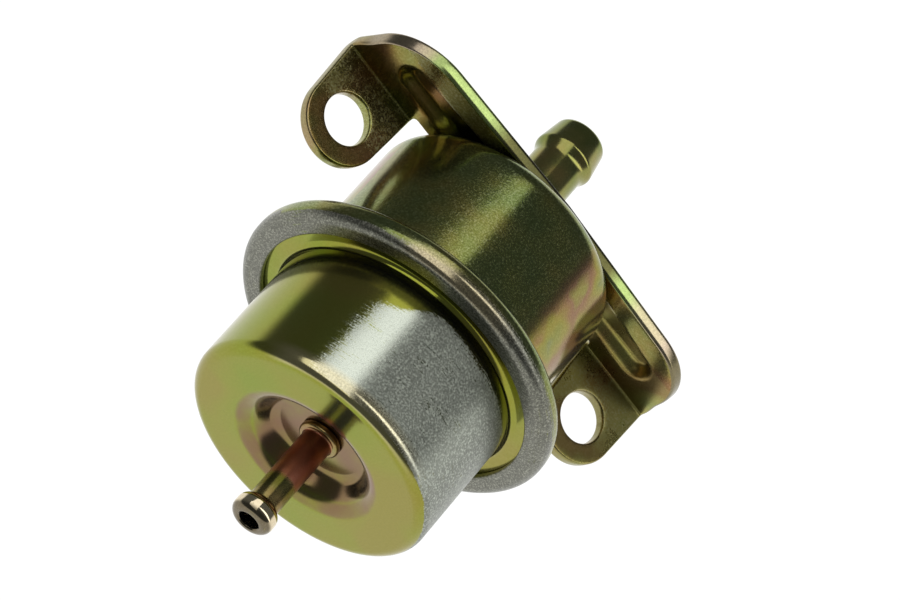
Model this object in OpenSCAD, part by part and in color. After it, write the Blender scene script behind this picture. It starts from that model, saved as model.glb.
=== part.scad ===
// Fuel pressure regulator with a vacuum nipple, two hose spigots and a bolt-on bracket.
// The origin is midway between the two bracket holes, on the back face of the ears.
// The regulator axis lies along Y: the vacuum nipple points to -Y, the return tube to +Y.

/* [Mounting bracket] */
// Distance between the two bolt holes
hole_spacing = 52; // [48:0.5:60]
// Diameter of the bolt holes
hole_d = 7; // [5.5:0.1:8]
// Width of each ear at its round end
ear_w = 12.2; // [11:0.1:13]
// How much further an ear's two sides stand out at the fold
ear_flare = 0.4; // [0:0.1:0.8]
// Distance from the hole line to the round end of each ear
ear_reach = 6.5; // [6.1:0.1:8]
// Distance from the hole line to the front face of the upright strip
hole_setback = 7.65; // [6.5:0.05:10]
// Thickness of the bracket sheet
sheet_t = 1.8; // [1.2:0.1:2.5]
// Inside radius of the fold between ear and strip
fold_r = 0.3; // [0.2:0.05:0.5]
// Height of the strip above the front face of the ears, at its middle
strip_h = 14.2; // [13:0.1:16]
// How far the strip's top edge falls from its middle to its outer corners
strip_fall = 1.3; // [0:0.1:2]
// How far the strip's outer edges lean in from the fold to the top corners
strip_lean = 1.9; // [0:0.1:2.5]
// Radius of the strip's outer top corners
strip_corner_r = 9.6; // [5:0.1:10.5]
// Height of the strip's lower edge above the front face of the ears
strip_rise = 0.95; // [0.9:0.05:2]
// Radius of the inside corner between an ear and the strip's lower edge
relief_r = 0.4; // [0.2:0.05:0.4]
// Radius of the round pad that lies on the can around the return tube
pad_r = 12; // [9:0.5:14]
// Depth of the pressed stiffening channels
channel_depth = 1.4; // [0.8:0.1:1.8]
// Distance from the axis to the inner end centre of a channel
channel_in_x = 10; // [8.5:0.5:14]
// Distance from the axis to the outer end centre of a channel
channel_out_x = 24.5; // [20:0.5:25]
// Height of the inner end centre above the front face of the ears
channel_in_z = 6.9; // [6.5:0.1:7.5]
// Height of the outer end centre above the front face of the ears
channel_out_z = 6.1; // [5.5:0.1:7]
// Radius of the channel mouth at its inner end
channel_in_r = 3; // [2.2:0.1:3.2]
// Radius of the channel mouth at its outer end
channel_out_r = 2.25; // [1.8:0.05:2.6]
// How far the channel wall leans in from mouth to floor
channel_draft = 0.9; // [0.5:0.1:1.2]

/* [Fuel housing] */
// Outer diameter of the rear can
can_d = 36.2; // [34.5:0.1:37]
// Length of the can from its end face to the back of the crimp rim
can_len = 21.8; // [21:0.1:26]
// Sheet thickness of the can and its crimp rim
can_t = 1; // [0.8:0.1:1.2]
// Outer radius of the can's end corner
can_corner_r = 2.8; // [1.5:0.1:3.2]
// Radius between the can wall and the back of the crimp rim
can_fillet_r = 1; // [0.5:0.1:1.5]
// Outer diameter of the crimp rim
rim_d = 48.2; // [47:0.1:50]
// Outer radius of the rolled edge of the rim
rim_roll_r = 1.6; // [1.3:0.1:1.7]
// Diameter inside the rolled-over lip
lip_d = 41.2; // [40:0.1:42]
// Height of the drawn neck around the inlet tube
neck_h = 1.6; // [1:0.1:2.5]

/* [Spring cover] */
// Outer diameter of the front cover
cover_d = 36.2; // [34:0.1:37]
// Length of the cover in front of its flange
cover_len = 20; // [18:0.1:26]
// Sheet thickness of the cover
cover_t = 1; // [0.8:0.1:1.2]
// Radius of the cover's front edge
cover_edge_r = 1.4; // [1.1:0.1:2.5]
// Radius between the cover wall and its flange
cover_fillet_r = 0.9; // [0.4:0.1:1.2]
// Diameter of the dimple at the front face
dimple_d = 18.6; // [17:0.1:20]
// Diameter of the dimple floor
dimple_floor_d = 14.4; // [13.4:0.1:15]
// Depth of the dimple
dimple_depth = 3.7; // [3.2:0.1:4.2]
// Radius of the dimple's upper edge
dimple_edge_r = 3.2; // [2:0.1:3.6]
// Radius between the dimple's wall and floor
dimple_fillet_r = 1.6; // [1:0.1:1.8]

/* [Vacuum nipple] */
// Outer diameter of the nipple's tube
nipple_d = 4.35; // [3.8:0.05:5]
// Bore of the nipple
nipple_bore = 3; // [2:0.1:3.2]
// Length of the nipple above the dimple floor
nipple_len = 16; // [12:0.5:22]
// Diameter of the nipple's end bead
nipple_bead_d = 6; // [5.6:0.1:6.6]
// Length of the nipple's end bead
nipple_bead_len = 3; // [2.5:0.1:4]
// Diameter of the collar at the nipple's foot
collar_d = 6; // [5.6:0.1:7]
// Thickness of the collar
collar_t = 1; // [0.8:0.1:1.4]
// Diameter of the staked end inside the cover
stake_d = 6; // [5.4:0.1:6.6]
// Thickness of the staked end
stake_t = 0.5; // [0.3:0.1:0.8]

/* [Fuel tubes] */
// Outer diameter of the return and inlet tubes
tube_d = 7.6; // [6.5:0.1:8]
// Bore of the return and inlet tubes
tube_bore = 5.5; // [4.5:0.1:6]
// Diameter of the hose bead
tube_bead_d = 9; // [8.6:0.1:9.4]
// Length from the start of the bead to the tip of the tube
tube_bead_len = 5.8; // [5.2:0.1:8]
// Length of the return tube beyond the can's end face
return_len = 20.1; // [16:0.1:32]
// Length of the inlet tube beyond the can's wall
inlet_len = 18; // [14:0.5:28]
// Distance from the can's end face to the inlet tube's centre line
inlet_pos = 11; // [10:0.1:12.5]

/* [Diaphragm group] */
// Thickness of the diaphragm
diaphragm_t = 0.8; // [0.5:0.1:1]
// Middle diameter of the diaphragm's convolution
convolution_d = 28.6; // [28.4:0.1:29]
// Middle radius of the convolution's section
convolution_r = 1.75; // [1.4:0.05:1.9]
// Sheet thickness of the two diaphragm plates and the spring seat
plate_t = 1; // [0.8:0.1:1.2]
// Outer diameter of the fuel-side support plate
support_d = 22.4; // [20:0.2:23.4]
// Height of the turned edge of the two spring plates
plate_edge_h = 1.4; // [0.8:0.1:2]

/* [Valve] */
// Diameter of the valve ball
ball_d = 6.8; // [6:0.1:7]
// Distance from the ball's centre to its ground flat
ball_flat_h = 2.2; // [1.8:0.1:2.4]
// Diameter of the carrier's shank through the diaphragm
shank_d = 9.2; // [9:0.1:9.6]
// Thickness of the carrier's flange under the support plate
carrier_flange_t = 0.9; // [0.7:0.1:1.2]
// Diameter of the carrier's flange
carrier_flange_d = 12.8; // [12:0.1:14]
// Diameter of the carrier's riveted head
rivet_d = 11.6; // [11:0.1:12.4]
// Thickness of the riveted head
rivet_t = 0.8; // [0.5:0.1:1.2]
// Height of the closed dome of the carrier above its riveted head
dome_h = 2.2; // [2:0.1:3]
// Thickness of the dome's roof
dome_t = 1; // [0.6:0.1:1.2]
// Distance from the ball's centre to the lower end of the carrier's socket
socket_drop = 1.6; // [1.4:0.1:1.6]
// Sheet thickness of the ball retainer
retainer_t = 0.5; // [0.3:0.05:0.6]
// Diameter of the orifice in the valve seat
orifice_d = 3.8; // [2.5:0.1:4]
// Diameter of the seat's flat land
land_d = 4.8; // [4.4:0.1:5]
// Height of the seat's nozzle above its shoulder
nozzle_h = 1.6; // [1.4:0.1:2]
// Diameter of the seat's body
seat_d = 10; // [9:0.1:11]
// Length of the seat's body
seat_len = 5.2; // [4:0.1:7]
// Depth of the socket in the seat that takes the return tube
seat_socket = 3; // [2:0.1:3.5]
// Radial play between sliding or brazed round pieces
fit_gap = 0.05; // [0.02:0.01:0.08]

/* [Springs] */
// Wire diameter of the main spring
spring_wire_d = 2.2; // [1.6:0.1:2.4]
// Middle diameter of the main spring
spring_d = 18; // [17:0.1:18.4]
// Number of turns of the main spring
spring_turns = 4.5; // [4:0.25:5]
// Radial play between the main spring and the edges of its plates
spring_gap = 0.4; // [0.3:0.05:0.6]
// Wire diameter of the ball spring
ball_wire_d = 0.4; // [0.3:0.05:0.5]
// Middle diameter of the ball spring
ball_spring_d = 2.4; // [2:0.1:3]
// Number of turns of the ball spring
ball_spring_turns = 4; // [3:0.25:4.5]

/* [Hidden] */

$fn = 96;
// Steps of a rounded corner in an outline
arc_steps = 8;
// Extra depth of a cut beyond the face it opens
overcut = 0.1;

// Finishes
olive_zinc = "#8f8a3c";
gold_zinc = "#a89a48";
bare_steel = "#9a9b98";
brass = "#b79a4f";
nitrile = "#2c2a28";

// Places along the axis, counted from the can's end face towards the nipple
rim_h = 2 * can_t + diaphragm_t + cover_t;
diaphragm_s = can_len + can_t;
flange_s = diaphragm_s + diaphragm_t;
face_s = flange_s + cover_t + cover_len;
dimple_s = face_s - dimple_depth;
ceiling_s = dimple_s - cover_t;
support_s = diaphragm_s - plate_t;
spring_plate_s = diaphragm_s + diaphragm_t;
carrier_s = support_s - carrier_flange_t;
rivet_s = spring_plate_s + plate_t;
ball_s = carrier_s + fit_gap;
socket_s = ball_s - socket_drop;
dome_s = rivet_s + rivet_t + dome_h;
land_s = ball_s - ball_flat_h;
shoulder_s = land_s - nozzle_h;
seat_s = shoulder_s - seat_len;

// Radii shared by pieces that fit together
tube_hole_r = tube_d / 2 + fit_gap;
clamp_r = rim_d / 2 - rim_roll_r;
plate_hole_r = shank_d / 2 + fit_gap;
spring_outer_r = (spring_d + spring_wire_d) / 2;
plate_r = spring_outer_r + spring_gap + plate_t;
ball_bore_r = ball_d / 2 + fit_gap;
retainer_hole_r = sqrt(pow(ball_bore_r, 2) - pow(socket_drop, 2));

// Flat outline helpers: a point is [x, y] or [x, y, corner radius]
function xy(p) = [p[0], p[1]];
function unit(v) = v / norm(v);
function left(v) = [-v[1], v[0]];
function turn(a, b) = atan2(a[0] * b[1] - a[1] * b[0], a[0] * b[0] + a[1] * b[1]);
function reversed(list) = [for (i = [len(list) - 1 : -1 : 0]) list[i]];

// The points of one corner, rounded to its radius between its two neighbours
function corner(before, point, after) =
    let (
        p = xy(point),
        u = unit(xy(before) - p),
        v = unit(xy(after) - p),
        half = abs(turn(u, v)) / 2,
        r = point[2]
    )
    r == undef || r <= 0 ? [p] :
    let (
        centre = p + unit(u + v) * r / sin(half),
        first = p + u * r / tan(half) - centre,
        last = p + v * r / tan(half) - centre,
        start = atan2(first[1], first[0]),
        sweep = turn(first, last)
    )
    [for (i = [0 : arc_steps])
        let (a = start + sweep * i / arc_steps)
        centre + r * [cos(a), sin(a)]];

// An open path with its inner corners rounded
function rounded(path) = [
    for (i = [0 : len(path) - 1])
        each (i == 0 || i == len(path) - 1 ? [xy(path[i])] : corner(path[i - 1], path[i], path[i + 1]))
];

// The path moved to its left by t, with corner radii that keep it parallel
function parallel(path, t) = [
    for (i = [0 : len(path) - 1])
        let (
            last = len(path) - 1,
            p = xy(path[i]),
            d0 = i == 0 ? unit(xy(path[1]) - p) : unit(p - xy(path[i - 1])),
            d1 = i == last ? d0 : unit(xy(path[i + 1]) - p),
            q = p + (left(d0) + left(d1)) * t / (1 + left(d0) * left(d1)),
            r = path[i][2] == undef ? 0 : path[i][2]
        )
        [q[0], q[1], max(0, r - sign(turn(d0, d1)) * t)]
];

// The cut section of formed sheet: a path and its parallel
function sheet_section(path, t) = concat(rounded(path), reversed(rounded(parallel(path, t))));

// Puts a piece that is drawn along +Z onto the regulator's axis
module on_axis() {
    translate([0, hole_setback, sheet_t])
        rotate([90, 0, 0])
            children();
}

module turned(section) {
    on_axis()
        rotate_extrude()
            polygon(section);
}

// Section of a round hose spigot from its foot at a to its tip at b, with a flared bead
function spigot_section(a, b) =
    let (
        r = tube_d / 2,
        bore = tube_bore / 2,
        bead = tube_bead_d / 2,
        start = b - tube_bead_len,
        crest_run = 1.2,
        nose_drop = 0.75,
        blend_r = 2.2,
        crest_r = 1,
        chamfer = 0.2,
        nose_r = bead - nose_drop - bore - chamfer
    )
    rounded([
        [bore, a], [r, a], [r, start, blend_r], [bead, start + crest_run, crest_r],
        [bead - nose_drop, b, nose_r], [bore + chamfer, b], [bore, b - chamfer]
    ]);

// A spring wire of diameter wire wound to middle radius r between two flat seats at 0 and height.
// Its end turns are closed: the centre line eases off each seat over one turn. The share ground of the
// wire's diameter is ground away at each end.
module coil_spring(r, wire, height, turns, ground, sides, turn_steps) {
    rings = round(turns * turn_steps);
    end_z = wire * (0.5 - ground);
    rise = height - 2 * end_z;
    closed = wire * 1.04;
    function lift(t) =
        t < 1 ? closed * t * t * 0.5 + closed * t * 0.5 :
        t > turns - 1 ? rise - lift(turns - t) :
        closed + (rise - 2 * closed) * (t - 1) / (turns - 2);
    function ring(i) =
        let (
            t = turns * i / rings,
            a = 360 * t,
            z = end_z + lift(t)
        )
        [for (j = [0 : sides - 1])
            let (
                b = 360 * j / sides,
                q = r + wire / 2 * cos(b)
            )
            [q * cos(a), q * sin(a), max(0, min(height, z + wire / 2 * sin(b)))]];
    points = [for (i = [0 : rings]) each ring(i)];
    walls = [
        for (i = [0 : rings - 1], j = [0 : sides - 1])
            let (k = (j + 1) % sides)
            [i * sides + j, (i + 1) * sides + j, (i + 1) * sides + k, i * sides + k]
    ];
    ends = [
        [for (j = [0 : sides - 1]) j],
        [for (j = [sides - 1 : -1 : 0]) rings * sides + j]
    ];
    polyhedron(points, concat(walls, ends), convexity = 10);
}

// Deep-drawn can whose flange is rolled round the diaphragm rim and the cover's flange
module fuel_housing() {
    path = [
        [tube_hole_r, 0],
        [can_d / 2, 0, can_corner_r],
        [can_d / 2, can_len, can_fillet_r],
        [rim_d / 2, can_len, rim_roll_r],
        [rim_d / 2, can_len + rim_h, rim_roll_r],
        [lip_d / 2, can_len + rim_h]
    ];
    color(olive_zinc)
        difference() {
            union() {
                turned(sheet_section(path, can_t));
                on_inlet() inlet_neck();
            }
            on_inlet() cylinder(h = can_d, r = tube_hole_r);
        }
}

// Places a piece on the inlet's line, drawn along +Z from the regulator's axis outwards
module on_inlet() {
    on_axis()
        translate([0, 0, inlet_pos])
            rotate([90, 0, 0])
                children();
}

// Short neck drawn out of the can wall round the inlet tube
module inlet_neck() {
    wall_r = can_d / 2;
    neck_r = tube_hole_r + can_t;
    foot_r = 0.8;
    section = rounded([
        [tube_hole_r / 2, wall_r - can_t / 2], [neck_r + foot_r, wall_r - can_t / 2],
        [neck_r, wall_r + foot_r, foot_r], [neck_r, wall_r + neck_h, can_t / 2],
        [tube_hole_r / 2, wall_r + neck_h]
    ]);
    difference() {
        rotate_extrude() polygon(section);
        rotate([-90, 0, 0])
            translate([0, 0, -can_d / 2])
                cylinder(h = can_d, r = wall_r - can_t / 2);
    }
}

// Deep-drawn cup with a clamped flange and a dimple that sets the spring's preload
module spring_cover() {
    path = [
        [clamp_r, flange_s + cover_t],
        [cover_d / 2, flange_s + cover_t, cover_fillet_r],
        [cover_d / 2, face_s, cover_edge_r],
        [dimple_d / 2, face_s, dimple_edge_r],
        [dimple_floor_d / 2, dimple_s, dimple_fillet_r],
        [nipple_d / 2 + fit_gap, dimple_s]
    ];
    color(gold_zinc)
        turned(sheet_section(path, cover_t));
}

// Turned nipple: staked inside the cover, with a collar on the dimple floor and a hose bead
module vacuum_nipple() {
    r = nipple_d / 2;
    bore = nipple_bore / 2;
    bead = nipple_bead_d / 2;
    tip = dimple_s + nipple_len;
    start = tip - nipple_bead_len;
    bead_step = bead - r;
    bead_run = bead_step * 0.6;
    chamfer = 0.18;
    tip_r = bead - bore - 2 * chamfer;
    section = rounded([
        [bore, ceiling_s - stake_t], [stake_d / 2, ceiling_s - stake_t, stake_t / 2],
        [stake_d / 2, ceiling_s], [r, ceiling_s], [r, dimple_s], [collar_d / 2, dimple_s, collar_t * 0.3],
        [collar_d / 2, dimple_s + collar_t, collar_t * 0.45], [r, dimple_s + collar_t, collar_t * 0.2],
        [r, start, bead_step * 0.3], [bead, start + bead_run, bead_step], [bead, tip, tip_r],
        [bore + chamfer, tip], [bore, tip - chamfer]
    ]);
    color(gold_zinc)
        turned(section);
}

// Bracket folded from one sheet: two ears, an upright strip and a round pad under the return tube
module mounting_bracket() {
    color(olive_zinc)
        difference() {
            union() {
                bracket_strip();
                for (side = [-1, 1]) {
                    bracket_ear(side);
                    bracket_fold(side);
                    channel(side, sheet_t, channel_back());
                }
            }
            for (side = [-1, 1]) {
                channel(side, 0, 0);
                translate([side * hole_spacing / 2, 0, -overcut])
                    cylinder(h = sheet_t + 2 * overcut, d = hole_d);
            }
        }
}

// How much wider a channel is on the back of the sheet than on its front
function channel_back() = sheet_t * 0.45;

// Half the width of an ear where it meets the fold
function fold_half() = ear_w / 2 + ear_flare;

// One ear with a full round end, lying on the mounting face and widening towards the fold
module bracket_ear(side) {
    round_y = ear_w / 2 - ear_reach;
    fold_y = hole_setback - fold_r;
    translate([side * hole_spacing / 2, 0, 0])
        linear_extrude(sheet_t)
            union() {
                translate([0, round_y])
                    circle(d = ear_w);
                polygon([
                    [-ear_w / 2, round_y], [ear_w / 2, round_y],
                    [fold_half(), fold_y], [-fold_half(), fold_y]
                ]);
            }
}

// Quarter-round fold between an ear and the strip
module bracket_fold(side) {
    translate([side * hole_spacing / 2 - fold_half(), hole_setback - fold_r, sheet_t + fold_r])
        rotate([90, 0, 90])
            linear_extrude(2 * fold_half())
                intersection() {
                    difference() {
                        circle(r = fold_r + sheet_t);
                        circle(r = fold_r);
                    }
                    translate([0, -fold_r - sheet_t])
                        square(fold_r + sheet_t);
                }
}

// Upright strip behind the can, with rounded top corners, relieved lower edge and the tube hole
module bracket_strip() {
    outer_x = hole_spacing / 2 + fold_half();
    inner_x = hole_spacing / 2 - fold_half();
    foot = fold_r;
    outline = rounded([
        [0, strip_h], [outer_x - strip_lean, strip_h - strip_fall, strip_corner_r], [outer_x, foot],
        [inner_x, foot], [inner_x, strip_rise, relief_r], [0, strip_rise]
    ]);
    translate([0, hole_setback + sheet_t, sheet_t])
        rotate([90, 0, 0])
            linear_extrude(sheet_t)
                difference() {
                    union() {
                        polygon(outline);
                        mirror([1, 0]) polygon(outline);
                        circle(r = pad_r);
                    }
                    circle(r = tube_hole_r);
                }
}

// A pressed channel with sloping walls, from the sheet face at depth from, wider by grow
module channel(side, from, grow) {
    ends = [
        [channel_in_x, channel_in_z, channel_in_r],
        [channel_out_x, channel_out_z, channel_out_r]
    ];
    start = from > 0 ? from : -overcut;
    depth = from + channel_depth - start;
    translate([0, hole_setback, sheet_t])
        hull()
            for (e = ends)
                translate([side * e[0], start, e[1]])
                    rotate([-90, 0, 0])
                        cylinder(h = depth, r1 = e[2] + grow, r2 = e[2] + grow - channel_draft, $fn = 32);
}

// Return spigot on the axis, reaching from the valve seat out through the can and the bracket
module return_tube() {
    color(gold_zinc)
        on_axis()
            mirror([0, 0, 1])
                rotate_extrude()
                    polygon(spigot_section(-seat_s - seat_socket, return_len));
}

// Inlet spigot brazed into the neck of the can
module inlet_tube() {
    color(gold_zinc)
        on_inlet()
            rotate_extrude()
                polygon(spigot_section(can_d / 2 - can_t, can_d / 2 + inlet_len));
}

// Nozzle with a flat land, pushed over the inner end of the return tube
module valve_seat() {
    shoulder_bevel = 0.8;
    section = [
        [orifice_d / 2, seat_s + seat_socket], [tube_hole_r, seat_s + seat_socket], [tube_hole_r, seat_s],
        [seat_d / 2, seat_s], [seat_d / 2, shoulder_s - shoulder_bevel],
        [seat_d / 2 - shoulder_bevel, shoulder_s], [land_d / 2, shoulder_s], [land_d / 2, land_s],
        [orifice_d / 2, land_s]
    ];
    color(brass)
        turned(section);
}

// Membrane with one convolution that bulges into the spring chamber
module diaphragm() {
    mid_r = convolution_d / 2;
    mid_s = diaphragm_s + diaphragm_t / 2;
    half_t = diaphragm_t / 2;
    color(nitrile)
        on_axis()
            rotate_extrude()
                union() {
                    translate([plate_hole_r, diaphragm_s])
                        square([mid_r - convolution_r + half_t - plate_hole_r, diaphragm_t]);
                    translate([mid_r + convolution_r - half_t, diaphragm_s])
                        square([clamp_r - mid_r - convolution_r + half_t, diaphragm_t]);
                    translate([mid_r, mid_s])
                        intersection() {
                            difference() {
                                circle(r = convolution_r + half_t);
                                circle(r = convolution_r - half_t);
                            }
                            translate([-convolution_r - half_t, 0])
                                square([2 * convolution_r + diaphragm_t, convolution_r + half_t]);
                        }
                }
}

// Plate on the fuel side of the diaphragm, its edge rounded away from the rubber
module support_plate() {
    section = rounded([
        [plate_hole_r, support_s], [support_d / 2, support_s, plate_t * 0.3],
        [support_d / 2, diaphragm_s, plate_t * 0.6], [plate_hole_r, diaphragm_s]
    ]);
    color(bare_steel)
        turned(section);
}

// Section of a spring plate: a flat washer from hole radius hole with its edge turned up round the spring
function edged_plate(hole, base, up) =
    let (top = base + up * (plate_t + plate_edge_h))
    rounded([
        [hole, base], [plate_r, base, plate_t * 0.8], [plate_r, top], [plate_r - plate_t, top],
        [plate_r - plate_t, base + up * plate_t], [hole, base + up * plate_t]
    ]);

// Plate on the spring side of the diaphragm
module spring_plate() {
    color(bare_steel)
        turned(edged_plate(plate_hole_r, spring_plate_s, 1));
}

// Plate that carries the main spring against the dimple
module spring_seat() {
    color(bare_steel)
        turned(edged_plate(stake_d / 2 + spring_gap, ceiling_s, -1));
}

// Socket for the ball, riveted through both plates and the diaphragm, with a closed dome
module valve_carrier() {
    skirt_r = shank_d / 2;
    dome_round = 1;
    section = rounded([
        [0, dome_s - dome_t], [ball_bore_r, dome_s - dome_t], [ball_bore_r, socket_s], [skirt_r, socket_s],
        [skirt_r, carrier_s], [carrier_flange_d / 2, carrier_s, carrier_flange_t * 0.3],
        [carrier_flange_d / 2, support_s], [shank_d / 2, support_s], [shank_d / 2, rivet_s],
        [rivet_d / 2, rivet_s], [rivet_d / 2, rivet_s + rivet_t, rivet_t * 0.6],
        [skirt_r, rivet_s + rivet_t], [skirt_r, dome_s, dome_round], [0, dome_s]
    ]);
    color(bare_steel)
        turned(section);
}

// Ball with a ground flat that seals on the land
module valve_ball() {
    color(bare_steel)
        on_axis()
            translate([0, 0, ball_s])
                difference() {
                    sphere(d = ball_d);
                    translate([-ball_d, -ball_d, -ball_flat_h - ball_d])
                        cube([2 * ball_d, 2 * ball_d, ball_d]);
                }
}

// Cap pushed over the carrier's skirt, with a hole smaller than the ball
module ball_retainer() {
    inner_r = shank_d / 2 + fit_gap;
    section = [
        [retainer_hole_r, socket_s - retainer_t], [inner_r + retainer_t, socket_s - retainer_t],
        [inner_r + retainer_t, carrier_s], [inner_r, carrier_s], [inner_r, socket_s],
        [retainer_hole_r, socket_s]
    ];
    color(bare_steel)
        turned(section);
}

// Light spring between the ball and the roof of the carrier
module ball_spring() {
    rest = sqrt(pow((ball_d + ball_wire_d) / 2, 2) - pow(ball_spring_d / 2, 2)) - ball_wire_d / 2;
    start = ball_s + rest + fit_gap;
    height = dome_s - dome_t - start;
    color(bare_steel)
        on_axis()
            translate([0, 0, start])
                coil_spring(
                    ball_spring_d / 2, ball_wire_d, height, ball_spring_turns,
                    ground = 0, sides = 8, turn_steps = 16
                );
}

// Calibrated spring between the spring plate and the spring seat
module main_spring() {
    start = spring_plate_s + plate_t;
    height = ceiling_s - plate_t - start;
    color(bare_steel)
        on_axis()
            translate([0, 0, start])
                coil_spring(
                    spring_d / 2, spring_wire_d, height, spring_turns,
                    ground = 0.2, sides = 12, turn_steps = 28
                );
}

fuel_housing();
spring_cover();
vacuum_nipple();
mounting_bracket();
return_tube();
inlet_tube();
valve_seat();
diaphragm();
support_plate();
spring_plate();
valve_carrier();
valve_ball();
ball_retainer();
ball_spring();
main_spring();
spring_seat();
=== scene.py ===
"""Looks of a fuel pressure regulator in yellow-passivated zinc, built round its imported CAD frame.

The regulator lies along Y. Station s runs along its axis from the rear face of the can towards the
vacuum nipple, so a point at station s has Y = rear_y - s. Sizes are in millimetres, and meshes in metres.
"""

from __future__ import annotations

import logging
import math
from dataclasses import dataclass, field
from enum import Enum
from functools import partial
from typing import Any, Mapping, Sequence

import bmesh
import bpy
import numpy as np
from mathutils import Matrix
from mathutils.geometry import delaunay_2d_cdt
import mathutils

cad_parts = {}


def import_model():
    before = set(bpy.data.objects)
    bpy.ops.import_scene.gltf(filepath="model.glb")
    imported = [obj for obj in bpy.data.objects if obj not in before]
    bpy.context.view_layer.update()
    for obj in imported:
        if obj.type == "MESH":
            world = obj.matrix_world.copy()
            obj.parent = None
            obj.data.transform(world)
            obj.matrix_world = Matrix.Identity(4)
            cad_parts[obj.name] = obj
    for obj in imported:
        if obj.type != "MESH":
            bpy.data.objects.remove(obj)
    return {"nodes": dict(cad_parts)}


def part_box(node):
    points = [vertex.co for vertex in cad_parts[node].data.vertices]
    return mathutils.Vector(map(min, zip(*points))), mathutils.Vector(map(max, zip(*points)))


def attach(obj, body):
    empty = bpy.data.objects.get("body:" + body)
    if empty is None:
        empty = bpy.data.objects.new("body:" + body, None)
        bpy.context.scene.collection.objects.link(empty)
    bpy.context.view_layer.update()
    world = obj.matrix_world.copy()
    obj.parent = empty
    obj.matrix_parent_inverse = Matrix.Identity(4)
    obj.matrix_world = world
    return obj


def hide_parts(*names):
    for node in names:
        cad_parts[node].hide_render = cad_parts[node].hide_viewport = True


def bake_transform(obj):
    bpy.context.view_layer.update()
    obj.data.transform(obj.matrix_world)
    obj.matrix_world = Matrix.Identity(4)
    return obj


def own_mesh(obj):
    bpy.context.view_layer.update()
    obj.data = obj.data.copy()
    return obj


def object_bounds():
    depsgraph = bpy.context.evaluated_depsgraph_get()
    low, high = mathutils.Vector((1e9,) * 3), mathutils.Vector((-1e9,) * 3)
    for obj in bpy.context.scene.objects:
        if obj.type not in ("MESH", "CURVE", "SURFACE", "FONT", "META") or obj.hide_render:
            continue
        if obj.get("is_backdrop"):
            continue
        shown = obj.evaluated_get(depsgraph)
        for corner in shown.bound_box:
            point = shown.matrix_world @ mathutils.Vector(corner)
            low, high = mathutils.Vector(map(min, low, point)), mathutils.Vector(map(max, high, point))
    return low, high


MM = 0.001
LOG = logging.getLogger("regulator")
# Large tables of distances are worked out in this many parts.
CHUNKS = 16

Span = tuple[float, float]
Corner = tuple[float, float, float]
Vector = tuple[float, float, float]
Knots = tuple[tuple[float, ...], tuple[float, ...]]


class Slot(str, Enum):
    """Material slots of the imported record."""

    OLIVE = "olive_chromate"
    GOLD = "gold_chromate"
    BRONZE = "bronze_chromate"
    WIRE = "spring_steel"
    RUBBER = "nitrile"


class Film(str, Enum):
    """Per-vertex maps that the plated finishes read."""

    BARE = "bare_zinc"
    BLUSH = "blush"
    POLISH = "polished_zinc"
    CUT = "cut_edge"
    RAINBOW = "edge_rainbow"


def linear(code: str) -> tuple[float, float, float, float]:
    """Turns an sRGB hex colour into linear RGBA.

    Args:
        code: Colour as "#rrggbb".

    Returns:
        Linear red, green, blue and an alpha of one.
    """
    srgb = np.array([int(code[i : i + 2], 16) for i in (1, 3, 5)]) / 255.0
    low, high = srgb / 12.92, ((srgb + 0.055) / 1.055) ** 2.4
    return (*np.where(srgb <= 0.04045, low, high).tolist(), 1.0)


def smoothstep(low: float, high: float, value: np.ndarray) -> np.ndarray:
    """Eases from 0 at low to 1 at high along the cubic 3t^2 - 2t^3."""
    t = np.clip((value - low) / (high - low), 0.0, 1.0)
    return t * t * (3.0 - 2.0 * t)


def rounded(corners: Sequence[Corner], closed: bool, steps: int = 12) -> np.ndarray:
    """Draws a path whose corners are arcs tangent to both neighbouring sides.

    The arc of radius r at a corner of half angle h starts r / tan(h) before the corner and its centre lies
    r / sin(h) along the bisector.

    Args:
        corners: Points as (x, y, corner radius).
        closed: Whether the last point joins the first.
        steps: Pieces in each arc.

    Returns:
        Points of the path, one row each.
    """
    points = np.array(corners, float)
    pieces = []
    for i, (x, y, radius) in enumerate(points):
        at_end = not closed and i in (0, len(points) - 1)
        if radius <= 0.0 or at_end:
            pieces.append(np.array([[x, y]]))
            continue
        here = np.array([x, y])
        back, ahead = points[i - 1, :2] - here, points[(i + 1) % len(points), :2] - here
        back, ahead = back / np.linalg.norm(back), ahead / np.linalg.norm(ahead)
        half = 0.5 * math.acos(float(np.clip(back @ ahead, -1.0, 1.0)))
        middle = back + ahead
        centre = here + middle / np.linalg.norm(middle) * radius / math.sin(half)
        first = here + back * radius / math.tan(half) - centre
        last = here + ahead * radius / math.tan(half) - centre
        start = math.atan2(first[1], first[0])
        sweep = math.atan2(first[0] * last[1] - first[1] * last[0], first @ last)
        angles = start + sweep * np.linspace(0.0, 1.0, steps + 1)
        pieces.append(centre + radius * np.stack([np.cos(angles), np.sin(angles)], axis=1))
    path = np.concatenate(pieces)
    apart = np.linalg.norm(path - np.roll(path, 1, axis=0), axis=1) > 1e-5
    apart[0] = apart[0] or not closed
    return path[apart]


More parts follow.
